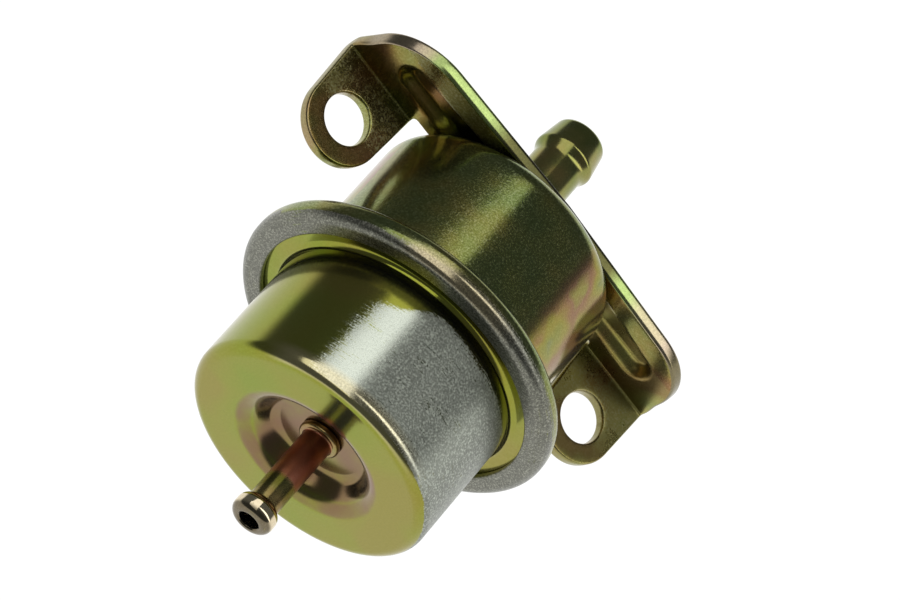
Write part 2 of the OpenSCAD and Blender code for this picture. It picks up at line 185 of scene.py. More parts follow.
def parallel(corners: Sequence[Corner], gap: float) -> list[Corner]:
    """Moves a path to its left by gap, with corner radii that keep it parallel.

    Args:
        corners: Points as (x, y, corner radius) of an open path.
        gap: Distance between the two paths.

    Returns:
        Corners of the moved path.
    """
    points = np.array(corners, float)
    steps = np.diff(points[:, :2], axis=0)
    steps /= np.linalg.norm(steps, axis=1)[:, None]
    before, after = np.vstack([steps[:1], steps]), np.vstack([steps, steps[-1:]])
    left_before = np.stack([-before[:, 1], before[:, 0]], axis=1)
    left_after = np.stack([-after[:, 1], after[:, 0]], axis=1)
    spread = 1.0 + np.sum(left_before * left_after, axis=1)
    moved = points[:, :2] + (left_before + left_after) * gap / spread[:, None]
    turn = np.sign(before[:, 0] * after[:, 1] - before[:, 1] * after[:, 0])
    radii = np.maximum(0.0, points[:, 2] - turn * gap)
    return [tuple(row) for row in np.column_stack([moved, radii]).tolist()]


def sheet_section(corners: Sequence[Corner], thickness: float, edge: float) -> list[Corner]:
    """Closes a formed sheet's outer path with its parallel, and breaks the four cut edges.

    Args:
        corners: Outer path, open, as (radius, station, corner radius).
        thickness: Sheet thickness, to the left of the path.
        edge: Radius of the broken cut edges.

    Returns:
        Corners of the closed section.
    """
    inner = parallel(corners, thickness)[::-1]
    ring = [*corners, *inner]
    ends = (0, len(corners) - 1, len(corners), len(ring) - 1)
    return [(x, y, edge if i in ends else r) for i, (x, y, r) in enumerate(ring)]


def resampled(path: np.ndarray, longest: float) -> np.ndarray:
    """Splits the sides of a closed path so that none is longer than a given length.

    Args:
        path: Points of the closed path.
        longest: Longest side that stays whole.

    Returns:
        Points of the same path with the extra ones in place.
    """
    ahead = np.roll(path, -1, axis=0)
    counts = np.maximum(1, np.ceil(np.linalg.norm(ahead - path, axis=1) / longest)).astype(int)
    side = np.repeat(np.arange(len(path)), counts)
    share = (np.arange(len(side)) - np.repeat(np.cumsum(counts) - counts, counts)) / counts[side]
    return path[side] + (ahead - path)[side] * share[:, None]


def quads(numbers: np.ndarray) -> np.ndarray:
    """Gives the four-sided faces between the neighbours of a grid of point numbers."""
    corners = [numbers[:-1, :-1], numbers[1:, :-1], numbers[1:, 1:], numbers[:-1, 1:]]
    return np.stack(corners, axis=-1).reshape(-1, 4)


@dataclass
class Surface:
    """A mesh as whole arrays: places in millimetres, faces, and per-vertex maps."""

    points: np.ndarray
    faces: np.ndarray
    maps: dict[Film, np.ndarray] = field(default_factory=dict)
    uv: np.ndarray | None = None

    def outward(self) -> Surface:
        """Turns the faces so that the volume inside them is positive.

        Returns:
            This surface, or one with its faces and their UV reversed.
        """
        sides = self.faces.shape[1]
        a, b, c = (self.points[self.faces[:, k]] for k in (0, 1, 2))
        volume = np.sum(a * np.cross(b, c))
        if sides == 4:
            volume += np.sum(a * np.cross(c, self.points[self.faces[:, 3]]))
        if volume > 0:
            return self
        uv = None if self.uv is None else self.uv.reshape(-1, sides, 2)[:, ::-1].reshape(-1, 2)
        return Surface(self.points, self.faces[:, ::-1], self.maps, uv)

    def joined(self, other: Surface) -> Surface:
        """Adds another surface to this one.

        Args:
            other: A surface with the same kind of faces and no maps.

        Returns:
            Both as one surface, turned outwards, with this one's maps.
        """
        first, second = self.outward(), other.outward()
        none = np.zeros(len(second.points))
        maps = {key: np.concatenate([value, none]) for key, value in first.maps.items()}
        uv = None if first.uv is None else np.concatenate([first.uv, second.uv])
        faces = np.concatenate([first.faces, second.faces + len(first.points)])
        return Surface(np.concatenate([first.points, second.points]), faces, maps, uv)

    def to_object(self, name: str, material: bpy.types.Material) -> bpy.types.Object:
        """Writes the arrays into a smooth-shaded mesh object at the origin.

        Args:
            name: Name of the object and its mesh.
            material: Finish of the whole piece.

        Returns:
            The new object, linked to the scene.
        """
        turned = self.outward()
        faces, sides = turned.faces, turned.faces.shape[1]
        mesh = bpy.data.meshes.new(name)
        mesh.vertices.add(len(self.points))
        mesh.vertices.foreach_set("co", (self.points * MM).astype(np.float32).ravel())
        mesh.loops.add(faces.size)
        mesh.loops.foreach_set("vertex_index", faces.astype(np.int32).ravel())
        mesh.polygons.add(len(faces))
        mesh.polygons.foreach_set("loop_start", np.arange(0, faces.size, sides, dtype=np.int32))
        mesh.polygons.foreach_set("use_smooth", np.ones(len(faces), bool))
        for key in Film:
            values = self.maps.get(key, np.zeros(len(self.points)))
            layer = mesh.attributes.new(key.value, "FLOAT", "POINT")
            layer.data.foreach_set("value", values.astype(np.float32))
        if turned.uv is not None:
            layer = mesh.uv_layers.new(name="unrolled_mm")
            layer.data.foreach_set("uv", turned.uv.astype(np.float32).ravel())
        mesh.update(calc_edges=True)
        mesh.validate()
        mesh.materials.append(material)
        piece = bpy.data.objects.new(name, mesh)
        bpy.context.scene.collection.objects.link(piece)
        return piece


class Direction(Enum):
    """Ways that a turned piece points, each as its axial direction in the row frame."""

    FRONT = (0.0, -1.0, 0.0)
    REAR = (0.0, 1.0, 0.0)
    DOWN = (0.0, 0.0, -1.0)


@dataclass(frozen=True)
class Spindle:
    """A turning axis: where station zero lies and which way the stations run."""

    origin: Vector
    direction: Direction

    def turned(self, corners: Sequence[Corner], longest: float, sides: int, steps: int = 12) -> Surface:
        """Rounds the corners of a closed section and turns it about this axis.

        A point of the section at angle a lies at origin + station * direction + radius * (cos a, sin a) in
        the plane across the axis. The grid wraps round in both ways, so it has no seam and no pole.

        Args:
            corners: Closed section as (radius, station, corner radius).
            longest: Longest side of the section.
            sides: Steps round the axis.
            steps: Steps round each corner.

        Returns:
            The surface, with its girth and section length as UV in millimetres.
        """
        section = resampled(rounded(corners, True, steps), longest)
        along = np.array(self.direction.value)
        across = np.array([1.0, 0.0, 0.0])
        third = np.array([0.0, -1.0, 0.0] if self.direction is Direction.DOWN else [0.0, 0.0, 1.0])
        rows, count = len(section), np.arange(sides)
        angles = -0.5 * np.pi + 2.0 * np.pi * count / sides
        ring = np.cos(angles)[:, None] * across + np.sin(angles)[:, None] * third
        points = section[:, None, :1] * ring[None] + section[:, None, 1:] * along
        points = points + np.array(self.origin)
        i, j = np.meshgrid(np.arange(rows), count, indexing="ij")
        corner_i = np.stack([i, i, i + 1, i + 1], axis=-1)
        corner_j = np.stack([j, j + 1, j + 1, j], axis=-1)
        faces = (corner_i % rows) * sides + corner_j % sides
        lengths = np.linalg.norm(np.roll(section, -1, axis=0) - section, axis=1)
        run = np.concatenate([[0.0], np.cumsum(lengths)])
        girth = section[:, 0].max() * 2.0 * np.pi / sides
        uv = np.stack([corner_j * girth, run[corner_i]], axis=-1)
        return Surface(points.reshape(-1, 3), faces.reshape(-1, 4), {}, uv.reshape(-1, 2))


# Kinds of node that recur, with their settings.
NOISE = "ShaderNodeTexNoise"
RAMP = "ShaderNodeValToRGB"
BUMP = "ShaderNodeBump"
MULTIPLY_ADD = ("ShaderNodeMath", {"operation": "MULTIPLY_ADD"})
DOT = ("ShaderNodeVectorMath", {"operation": "DOT_PRODUCT"})
MIX_NUMBER = ("ShaderNodeMix", {"data_type": "FLOAT"})
MIX_COLOUR = ("ShaderNodeMix", {"data_type": "RGBA"})
EASED = ("ShaderNodeMapRange", {"interpolation_type": "SMOOTHSTEP"})
# A noise keeps mostly between these two values.
NOISE_RUN = (0.3, 0.7)


def add_node(
    tree: bpy.types.NodeTree,
    kind: str,
    settings: Mapping[str, Any] | None = None,
    inputs: Mapping[str, Any] | Sequence[Any] = (),
) -> bpy.types.Node:
    """Adds one node, sets its properties, and sets or links the inputs that it shows.

    Args:
        tree: Node tree that gets the node.
        kind: Node type name.
        settings: Properties by name; "ramp" takes a list of (place, hex colour) stops.
        inputs: Values, sockets or nodes, by input name or in order. A node gives its first shown output.

    Returns:
        The new node.
    """
    node = tree.nodes.new(kind)
    for name, value in (settings or {}).items():
        if name != "ramp":
            setattr(node, name, value)
            continue
        stops = node.color_ramp.elements
        while len(stops) < len(value):
            stops.new(0.5)
        for stop, (place, colour) in zip(stops, value):
            stop.position, stop.color = place, linear(colour)
    shown = [socket for socket in node.inputs if socket.enabled]
    if isinstance(inputs, Mapping):
        named = {socket.name: socket for socket in shown}
        shown, inputs = [named[name] for name in inputs], list(inputs.values())
    for socket, value in zip(shown, inputs):
        if isinstance(value, bpy.types.Node):
            value = next(output for output in value.outputs if output.enabled)
        if isinstance(value, bpy.types.NodeSocket):
            tree.links.new(value, socket)
        else:
            socket.default_value = value
    return node


def new_material(name: str) -> tuple[bpy.types.Material, bpy.types.NodeTree]:
    """Makes an empty node material.

    Args:
        name: Name of the material.

    Returns:
        The material and its node tree.
    """
    material = bpy.data.materials.new(name)
    material.use_nodes = True
    material.node_tree.nodes.clear()
    return material, material.node_tree


@dataclass(frozen=True)
class PlatedZinc:
    """Zinc plating under a yellow chromate film, with places where the film is thin and shows grey zinc.

    Tints are the film's colours under white light, in soft clouds. The blushed tints are where the film is
    thicker and changes colour in patches; on the nipple they are partly a painted reflection, and on the
    bracket painted light that brightens its right wing. The polished colour is rubbed zinc, and on the spring
    cover a painted highlight where the key light falls. The edge tints are the thin film's rainbow on sheared
    or rubbed edges; on the can's rim and the cover's front edge they are painted highlights, and along the
    bracket's strip partly painted highlight and painted shade. The grain is the fine crystal of the plating,
    whose dull tips are specks that catch the light from all sides, and the hairs are the fine marks of
    rubbing round a wall. Specks and shade are given for the film and for bare zinc. A run is the stretch of a
    noise or a map over which the finish changes. Sizes are in millimetres.
    """

    name: str
    tints: tuple[str, ...]
    blush: tuple[str, ...] = ("#7f634c", "#7f634c")
    bare: str = "#70736a"
    polish_and_highlight: str = "#c8cec0"
    cut_and_highlight: tuple[str, ...] = ("#b3a684", "#b9ad86")
    cloud: float = 14.0
    patch: float = 5.0
    grain: float = 0.28
    grain_depth: float = 0.002
    wave: float = 4.0
    wave_depth: float = 0.004
    gloss: Span = (0.1, 0.15)
    blush_gloss: float = 0.17
    bare_gloss: Span = (0.27, 0.41)
    polish_gloss: float = 0.2
    cut_gloss: float = 0.2
    speck_gloss: float = 0.5
    specks: Span = (0.02, 0.5)
    shade: Span = (0.05, 0.32)
    hair: Span = (0.16, 4.5)
    hair_roughness: float = 0.65
    rubbed_grain: float = 0.4
    rubbed_patch: float = 0.6
    ragged: float = 2.5
    blotch: float = 0.8
    calm: float = 0.35
    coat: float = 0.2
    coat_gloss: float = 0.5
    bare_run: Span = (0.3, 0.6)
    blush_and_light_run: Span = (0.3, 0.75)
    tip_run: Span = (0.46, 0.7)
    tint_run: Span = (0.34, 0.66)
    tint_and_light_run: Span = (0.08, 1.0)

    def material(self) -> bpy.types.Material:
        """Builds the finish as nodes.

        The film is laid down in layers, each with its share, colour and roughness: blush over tints, zinc
        where the film is worn through, dull specks on the grain's tips, and the edge's own film. A map m
        becomes m * (1 + unevenness) before it is eased to a share, so that its border is ragged.

        Returns:
            A metal whose colour, roughness and bump come from the layers.
        """
        material, tree = new_material(self.name)
        add = partial(add_node, tree)
        place = add("ShaderNodeTexCoord").outputs
        maps = {key: add("ShaderNodeAttribute", {"attribute_name": key.value}).outputs["Fac"] for key in Film}
        clouds, patches, grain, waves = (
            add(NOISE, inputs={"Vector": place["Object"], "Scale": 1.0 / (size * MM), "Detail": detail})
            for size, detail in ((self.cloud, 2.0), (self.patch, 2.0), (self.grain, 3.0), (self.wave, 1.0))
        )
        # Hairs run round the unrolled wall, far longer than they are wide.
        width, length = self.hair
        slim = (1.0 / length, 1.0 / width, 1.0)
        unrolled = add("ShaderNodeMapping", inputs={"Vector": place["UV"], "Scale": slim})
        marks = {"Vector": unrolled, "Scale": 1.0, "Detail": 3.0, "Roughness": self.hair_roughness}
        hairs = rubbing = add(NOISE, inputs=marks)
        for noise, share in ((grain, self.rubbed_grain), (patches, self.rubbed_patch)):
            rubbing = add(*MULTIPLY_ADD, (noise, share, rubbing))
        shares = []
        for uneven, middle, strength, key, run in (
            (rubbing, 1.0, self.ragged, Film.BARE, self.bare_run),
            (patches, 0.5, self.blotch, Film.BLUSH, self.blush_and_light_run),
        ):
            swing = add(*MULTIPLY_ADD, (uneven, strength, -strength * middle))
            spread = add(*MULTIPLY_ADD, (swing, maps[key], maps[key]))
            shares.append(add(*EASED, (spread, *run)))
        thin, pink = shares
        levels = []
        for filmed, bare in (self.specks, self.shade):
            worn = add(*MIX_NUMBER, (thin, filmed, bare))
            levels.append(add(*MIX_NUMBER, (pink, worn, self.calm * filmed)))
        amount, depth = levels
        tips = add(*EASED, (grain, *self.tip_run, 0.0, amount))
        film, thick, edge = (
            add(RAMP, {"ramp": list(zip(np.linspace(*run, len(tints)).tolist(), tints))}, [value])
            for tints, value, run in (
                (self.tints, clouds, self.tint_run),
                (self.blush, clouds, NOISE_RUN),
                (self.cut_and_highlight, maps[Film.RAINBOW], self.tint_and_light_run),
            )
        )
        zinc = add(*MIX_COLOUR, (maps[Film.POLISH], linear(self.bare), linear(self.polish_and_highlight)))
        gloss, dull = (
            add(*EASED, (noise, *NOISE_RUN, *limits))
            for noise, limits in ((clouds, self.gloss), (hairs, self.bare_gloss))
        )
        zinc_gloss = add(*MIX_NUMBER, (maps[Film.POLISH], dull, self.polish_gloss))
        # On some pieces these layers are painted light: a lighter film on the bracket's right wing, the
        # cover's highlighted zinc, and cream or dark tints along edges.
        for share, tint, rough in (
            (pink, thick, self.blush_gloss),
            (thin, zinc, zinc_gloss),
            (tips, linear(self.polish_and_highlight), self.speck_gloss),
            (maps[Film.CUT], edge, self.cut_gloss),
        ):
            film = add(*MIX_COLOUR, (share, film, tint))
            gloss = add(*MIX_NUMBER, (share, gloss, rough))
        relief = add("ShaderNodeMapRange", inputs=(grain, *NOISE_RUN, -1.0, 1.0))
        shading = add(*MULTIPLY_ADD, (relief, depth, 1.0))
        colour = add("ShaderNodeVectorMath", {"operation": "SCALE"}, (film, shading))
        swell = add(BUMP, inputs={"Strength": 1.0, "Distance": self.wave_depth * MM, "Height": waves})
        burnished = add("ShaderNodeMath", {"operation": "SUBTRACT"}, (1.0, maps[Film.CUT]))
        fine = {"Strength": burnished, "Distance": self.grain_depth * MM, "Height": grain, "Normal": swell}
        metal = add(
            "ShaderNodeBsdfPrincipled",
            inputs={
                "Base Color": colour,
                "Metallic": 1.0,
                "Roughness": gloss,
                "Normal": add(BUMP, inputs=fine),
                "Coat Weight": self.coat,
                "Coat Roughness": self.coat_gloss,
            },
        )
        add("ShaderNodeOutputMaterial", inputs=[metal])
        return material


@dataclass(frozen=True)
class PlainFinish:
    """A finish of one colour with a fine mottled grain, for the pieces inside the shells."""

    name: str
    light: str
    dark: str
    metallic: float
    roughness: Span
    grain: float
    depth: float
    mottle: Span = (0.35, 0.65)
    bump: float = 0.6

    def material(self) -> bpy.types.Material:
        """Builds the finish as nodes.

        Returns:
            A material whose colour, roughness and bump follow one noise of the grain's size.
        """
        material, tree = new_material(self.name)
        add = partial(add_node, tree)
        place = add("ShaderNodeTexCoord").outputs["Object"]
        grain = add(NOISE, inputs={"Vector": place, "Scale": 1.0 / (self.grain * MM), "Detail": 4.0})
        colour = add(RAMP, {"ramp": list(zip(self.mottle, (self.dark, self.light)))}, [grain])
        rough = add("ShaderNodeMapRange", inputs=(grain, *NOISE_RUN, *self.roughness))
        bump = add(BUMP, inputs={"Strength": self.bump, "Distance": self.depth * MM, "Height": grain})
        shader = add(
            "ShaderNodeBsdfPrincipled",
            inputs={"Base Color": colour, "Metallic": self.metallic, "Roughness": rough, "Normal": bump},
        )
        add("ShaderNodeOutputMaterial", inputs=[shader])
        return material


# Bright dipped film on the spring cover: a clean green-gold mirror, rubbed to grey zinc on its upper side.
# Its polished colour is a painted highlight on that zinc, and its edge colour a painted highlight on the
# front edge.
GOLD_FILM = PlatedZinc(
    "zinc_yellow_chromate_bright",
    ("#808c2d", "#858b2f", "#898932", "#8c8437"),
    bare="#7b7e75",
    cut_and_highlight=("#c9bd94", "#c9bd94"),
    bare_gloss=(0.34, 0.48),
    cut_gloss=0.13,
    shade=(0.05, 0.2),
)
# The same film over the can's coarser crystal: olive, full of dull specks, with pink and yellow patches;
# its edge colour is a painted highlight on the rim's crest.
OLIVE_FILM = PlatedZinc(
    "zinc_yellow_chromate_olive",
    ("#6c7a42", "#757c3e", "#7f7b3a"),
    blush=("#757d60", "#84833c", "#8c8238", "#8c6f46", "#88664a", "#878040"),
    bare="#6a6a60",
    polish_and_highlight="#bdbdae",
    cloud=7.0,
    patch=8.0,
    grain=0.24,
    grain_depth=0.007,
    wave_depth=0.025,
    gloss=(0.13, 0.2),
    blush_gloss=0.12,
    bare_gloss=(0.24, 0.4),
    cut_gloss=0.14,
    specks=(0.18, 0.3),
    shade=(0.3, 0.3),
    blotch=0.9,
)
# A heavier film on the cold-rolled bracket: olive to brown clouds, and a rainbow on its sheared edges
# that is partly painted highlight and painted shade; its blushed tints and bare zinc are painted light in
# places.
BRONZE_FILM = PlatedZinc(
    "zinc_yellow_chromate_bronze",
    ("#767a3a", "#857c38", "#8f7238", "#8a653a"),
    blush=("#8a9455", "#9a9552", "#8a7845", "#9a8650"),
    bare="#8a844c",
    bare_gloss=(0.28, 0.4),
    cut_and_highlight=("#3a3920", "#5a5833", "#93a464", "#93a464", "#a69e7b", "#aa9a85", "#786f52"),
    cloud=8.0,
    grain_depth=0.004,
    gloss=(0.17, 0.25),
    blush_gloss=0.3,
    specks=(0.07, 0.2),
    shade=(0.16, 0.2),
)
# Turned steel under the film: red-brown and duller towards the foot, partly the film's own tint and partly
# a painted reflection of the pink dimple, and rubbed bright on the bead.
COPPER_FILM = PlatedZinc(
    "zinc_yellow_chromate_turned",
    ("#87874c", "#8d7d4b", "#8f744c"),
    blush=("#b27560", "#a0624c", "#8d5541"),
    bare="#6e6450",
    polish_and_highlight="#d8c9aa",
    cloud=5.0,
    gloss=(0.16, 0.24),
    blush_gloss=0.32,
    bare_gloss=(0.06, 0.1),
    polish_gloss=0.08,
    specks=(0.05, 0.05),
    shade=(0.05, 0.05),
)
# Drawn tube under the film: a dark olive mirror.
TUBE_FILM = PlatedZinc(
    "zinc_yellow_chromate_tube",
    ("#717a3c", "#868548", "#93854c"),
    cloud=5.0,
    wave_depth=0.015,
    gloss=(0.14, 0.2),
)
# Cold-rolled steel, lightly oiled: grey with a soft grain.
STEEL = PlainFinish("steel_cold_rolled", "#b4b3ae", "#8d8c88", 1.0, (0.28, 0.42), 0.4, 0.004)
# Hardened and ground steel: a near mirror.
GROUND_STEEL = PlainFinish("steel_ground_ball", "#cfcfcd", "#b9b9b8", 1.0, (0.06, 0.12), 0.3, 0.001)
# Patented drawn wire: darker, with a slight blue.
SPRING_WIRE = PlainFinish("steel_drawn_wire", "#8b8f94", "#65686d", 1.0, (0.3, 0.45), 0.3, 0.004)
# Turned free-cutting brass: warm yellow with a soft sheen.
BRASS = PlainFinish("brass_turned", "#c8a64e", "#a98a3e", 1.0, (0.2, 0.32), 0.3, 0.003)
# Fabric-backed nitrile rubber: near black and dull, with a fine mottle.
NITRILE = PlainFinish("rubber_nitrile", "#34312e", "#22201e", 0.0, (0.55, 0.75), 0.5, 0.02)


@dataclass
class Regulator:
    """Sizes that several sub-assemblies share, in millimetres, and where its axes lie."""

    rear_y: float = 7.65
    axis_z: float = 1.8
    can_d: float = 36.2
    can_len: float = 21.8
    can_t: float = 1.0
    cover_t: float = 1.0
    diaphragm_t: float = 0.8
    clamp_r: float = 22.5
    tube_d: float = 7.6
    return_ends: Span = (-15.0, 20.1)
    inlet_s: float = 11.0
    inlet_reach: float = 18.0
    fit_gap: float = 0.05

    @property
    def axis(self) -> Spindle:
        """Axis of the can, the cover and the nipple, with stations towards the nipple."""
        return Spindle((0.0, self.rear_y, self.axis_z), Direction.FRONT)

    @property
    def return_axis(self) -> Spindle:
        """The same axis with stations towards the return tube's tip."""
        return Spindle((0.0, self.rear_y, self.axis_z), Direction.REAR)

    @property
    def inlet_axis(self) -> Spindle:
        """Axis of the inlet, with stations downwards from the can's axis."""
        return Spindle((0.0, self.rear_y - self.inlet_s, self.axis_z), Direction.DOWN)

    @property
    def inlet_ends(self) -> Span:
        """Stations of the inlet tube's foot, inside the can's wall, and of its tip."""
        return self.can_d / 2.0 - self.can_t, self.can_d / 2.0 + self.inlet_reach

    @property
    def rim_h(self) -> float:
        """Depth of the crimped rim: two walls, the diaphragm and the cover's flange."""
        return 2.0 * self.can_t + self.diaphragm_t + self.cover_t

    @property
    def flange_s(self) -> float:
        """Station of the clamped flange's rear face."""
        return self.can_len + self.can_t + self.diaphragm_t

    @property
    def tube_hole_r(self) -> float:
        """Radius of the holes that the fuel tubes pass through."""
        return self.tube_d / 2.0 + self.fit_gap

    def about_axis(self, points: np.ndarray) -> tuple[np.ndarray, np.ndarray, np.ndarray]:
        """Gives the places of points about the main axis.

        Args:
            points: Points in the row frame.

        Returns:
            Radii, stations, and angles in degrees from the right side upwards.
        """
        x, y, z = (points - np.array(self.axis.origin)).T
        return np.hypot(x, z), -y, np.degrees(np.arctan2(z, x))


@dataclass
class FuelHousing:
    """Drawn can with the rim rolled over the diaphragm and the cover's flange, and the inlet's neck."""

    regulator: Regulator
    node: str = "fuel_housing"
    corner_r: float = 2.8
    fillet_r: float = 1.0
    rim_d: float = 48.2
    roll_r: float = 1.6
    lip_d: float = 41.2
    lip_edge_r: float = 0.32
    neck_h: float = 1.6
    neck_foot_r: float = 0.8
    neck_edges: Span = (0.45, 0.3)
    # Runs over which the film changes: radius past the wall, station past the flange, radius past the rim.
    rim_run: Span = (0.3, 1.0)
    front_run: Span = (1.2, 3.0)
    lip_run: Span = (2.2, 3.4)
    crest_run: Span = (-1.2, -0.5)
    # Arcs of the film, in degrees: the blush on the right, and the part of the rim's crest that gets a
    # painted highlight in cream, where the key light's highlight falls.
    blush_arc: Span = (85.0, 65.0)
    blush_share: float = 0.8
    lit_arc: Span = (102.0, 122.0)
    lit_fade: Span = (20.0, 10.0)
    lit_share: float = 0.85
    longest: Span = (1.0, 0.5)
    sides: int = 256

    def can(self) -> Surface:
        """Turns the can's sheet section: end wall, side wall and rolled rim.

        Returns:
            The can's surface, with bare zinc on the burnished rim, a blush on its right side, and a painted
            highlight along part of the rim's crest.
        """
        reg = self.regulator
        outer, rim = reg.can_d / 2.0, self.rim_d / 2.0
        path = [
            (reg.tube_hole_r, 0.0, 0.0),
            (outer, 0.0, self.corner_r),
            (outer, reg.can_len, self.fillet_r),
            (rim, reg.can_len, self.roll_r),
            (rim, reg.can_len + reg.rim_h, self.roll_r),
            (self.lip_d / 2.0, reg.can_len + reg.rim_h, 0.0),
        ]
        corners = sheet_section(path, reg.can_t, self.lip_edge_r)
        surface = reg.axis.turned(corners, self.longest[0], self.sides)
        radius, station, angle = reg.about_axis(surface.points)
        on_rim = smoothstep(*self.rim_run, radius - outer)
        on_front = smoothstep(*self.front_run, station - reg.can_len)
        on_lip = smoothstep(*self.lip_run, station - reg.can_len)
        crest = smoothstep(*self.crest_run, radius - rim)
        # Painted highlight: cream edge colour on the rim's crest, only over the arc where the key light's
        # highlight falls.
        (start, end), (fade_in, fade_out) = self.lit_arc, self.lit_fade
        lit = smoothstep(end + fade_out, end, angle) * smoothstep(start - fade_in, start, angle)
        surface.maps = {
            Film.BARE: on_rim * (on_lip + (on_front - on_lip) * smoothstep(end, start, angle)),
            Film.BLUSH: self.blush_share * smoothstep(*self.blush_arc, angle) * (1.0 - on_rim),
            Film.CUT: self.lit_share * lit * crest * on_front,
        }
        return surface

    def neck(self) -> Surface:
        """Turns the short flared neck round the inlet tube.

        Returns:
            The neck's surface, its foot sunk in the can's wall.
        """
        reg = self.regulator
        wall, inner = reg.can_d / 2.0, reg.tube_hole_r
        outer = inner + reg.can_t
        foot, sunk = self.neck_foot_r, wall - reg.can_t / 2.0
        outer_edge, inner_edge = (reg.can_t * share for share in self.neck_edges)
        corners = [
            (inner, sunk, 0.0),
            (outer + 2.0 * foot, sunk, 0.0),
            (outer, wall + foot, 2.0 * foot),
            (outer, wall + self.neck_h, outer_edge),
            (inner, wall + self.neck_h, inner_edge),
        ]
        return reg.inlet_axis.turned(corners, self.longest[1], self.sides // 2)

    def build(self) -> bpy.types.Object:
        """Builds the housing as one piece in olive film."""
        return self.can().joined(self.neck()).to_object("fuel_can", OLIVE_FILM.material())


@dataclass
class SpringCover:
    """Deep-drawn cup over the spring, with a clamped flange and a dimple round the nipple."""

    regulator: Regulator
    node: str = "spring_cover"
    diameter: float = 36.2
    length: float = 20.0
    edge_r: float = 1.7
    fillet_r: float = 0.9
    cut_r: float = 0.1
    dimple_d: float = 18.6
    dimple_floor_d: float = 14.4
    dimple_depth: float = 3.7
    dimple_edge_r: float = 3.2
    dimple_fillet_r: float = 1.6
    nipple_d: float = 4.35
    # Arcs of the wall's film, in degrees: where its rubbing starts and ends; where its zinc is painted
    # lighter, as a painted highlight in the key light's arc and a fainter painted sheen on the upper side;
    # and where its front edge gets a painted highlight.
    rubbed_start: Span = (145.0, 111.0)
    rubbed_end: Span = (-32.0, 8.0)
    lit_arc: Span = (102.0, 116.0)
    upper_arc: Span = (48.0, 73.0)
    upper_highlight: float = 0.35
    edge_arcs: tuple[Span, Span] = ((155.0, 140.0), (60.0, 100.0))
    # The rubbing keeps a gap to the flange, which grows by some more over an arc.
    rubbed_gap: float = 0.8
    rubbed_more: float = 3.0
    more_arc: Span = (104.0, 122.0)
    rubbed_run: Span = (0.0, 3.0)
    # Runs of the film's change: radius past the wall, radius past the dimple's rim, station past the edge.
    wall_run: Span = (-0.5, -0.1)
    border_run: Span = (-1.2, -0.5)
    crest_run: Span = (-1.2, -0.7)
    halo_runs: tuple[Span, Span] = ((2.6, 1.0), (-1.4, 0.0))
    slope_run: Span = (0.4, -0.8)
    edge_run: Span = (-1.1, -0.1)
    border_share: float = 0.5
    blush_share: float = 0.62
    edge_share: float = 0.7
    blush_depth: float = 0.2
    longest: float = 0.6
    steps: int = 16
    sides: int = 288

    @property
    def face_s(self) -> float:
        """Station of the front face."""
        return self.regulator.flange_s + self.regulator.cover_t + self.length

    @property
    def floor_s(self) -> float:
        """Station of the dimple's floor."""
        return self.face_s - self.dimple_depth

    def build(self) -> bpy.types.Object:
        """Turns the cup's sheet section.

        Returns:
            The cover in gold film.
        """
        reg = self.regulator
        outer = self.diameter / 2.0
        flange = reg.flange_s + reg.cover_t
        path = [
            (reg.clamp_r, flange, 0.0),
            (outer, flange, self.fillet_r),
            (outer, self.face_s, self.edge_r),
            (self.dimple_d / 2.0, self.face_s, self.dimple_edge_r),
            (self.dimple_floor_d / 2.0, self.floor_s, self.dimple_fillet_r),
            (self.nipple_d / 2.0 + reg.fit_gap, self.floor_s, 0.0),
        ]
        corners = sheet_section(path, reg.cover_t, self.cut_r)
        surface = reg.axis.turned(corners, self.longest, self.sides, self.steps)
        surface.maps = self.film(surface.points)
        return surface.to_object("spring_cup", GOLD_FILM.material())

    def film(self, points: np.ndarray) -> dict[Film, np.ndarray]:
        """Maps where the film is rubbed to bare zinc, where that zinc is painted lighter as a highlight,
        where it blushes, and where the edge gets a painted highlight.

        Args:
            points: Points of the cup.

        Returns:
            Per-point shares of each kind of film.
        """
        reg = self.regulator
        radius, station, angle = reg.about_axis(points)
        wall, rim = radius - self.diameter / 2.0, radius - self.dimple_d / 2.0
        gap = self.rubbed_gap + self.rubbed_more * smoothstep(*self.more_arc, angle)
        behind = reg.flange_s + reg.cover_t + gap
        on_wall = smoothstep(*self.wall_run, wall) * smoothstep(*self.rubbed_run, station - behind)
        rubbed = smoothstep(*self.rubbed_start, angle) * smoothstep(*self.rubbed_end, angle)
        lit, upper = (smoothstep(*arc, angle) for arc in (self.lit_arc, self.upper_arc))
        (halo_out, halo_in), slope = self.halo_runs, smoothstep(*self.slope_run, rim)
        halo = smoothstep(*halo_out, rim) * smoothstep(*halo_in, rim)
        border = self.border_share * smoothstep(*self.border_run, wall)
        outside = station > self.floor_s - self.blush_depth
        # Painted highlight: cream edge colour on the front edge, only over the arcs where the key light's
        # highlight falls.
        edge = smoothstep(*self.edge_run, station - (self.face_s - self.edge_r))
        for arc in self.edge_arcs:
            edge = edge * smoothstep(*arc, angle)
        return {
            Film.BARE: on_wall * rubbed,
            # Painted highlight: the zinc takes the lighter polished colour in the key light's arc, and a
            # fainter painted sheen on the upper side.
            Film.POLISH: np.maximum(lit, self.upper_highlight * upper),
            Film.BLUSH: self.blush_share * np.max([halo, slope, border], axis=0) * outside,
            Film.CUT: self.edge_share * edge * smoothstep(*self.crest_run, wall),
        }


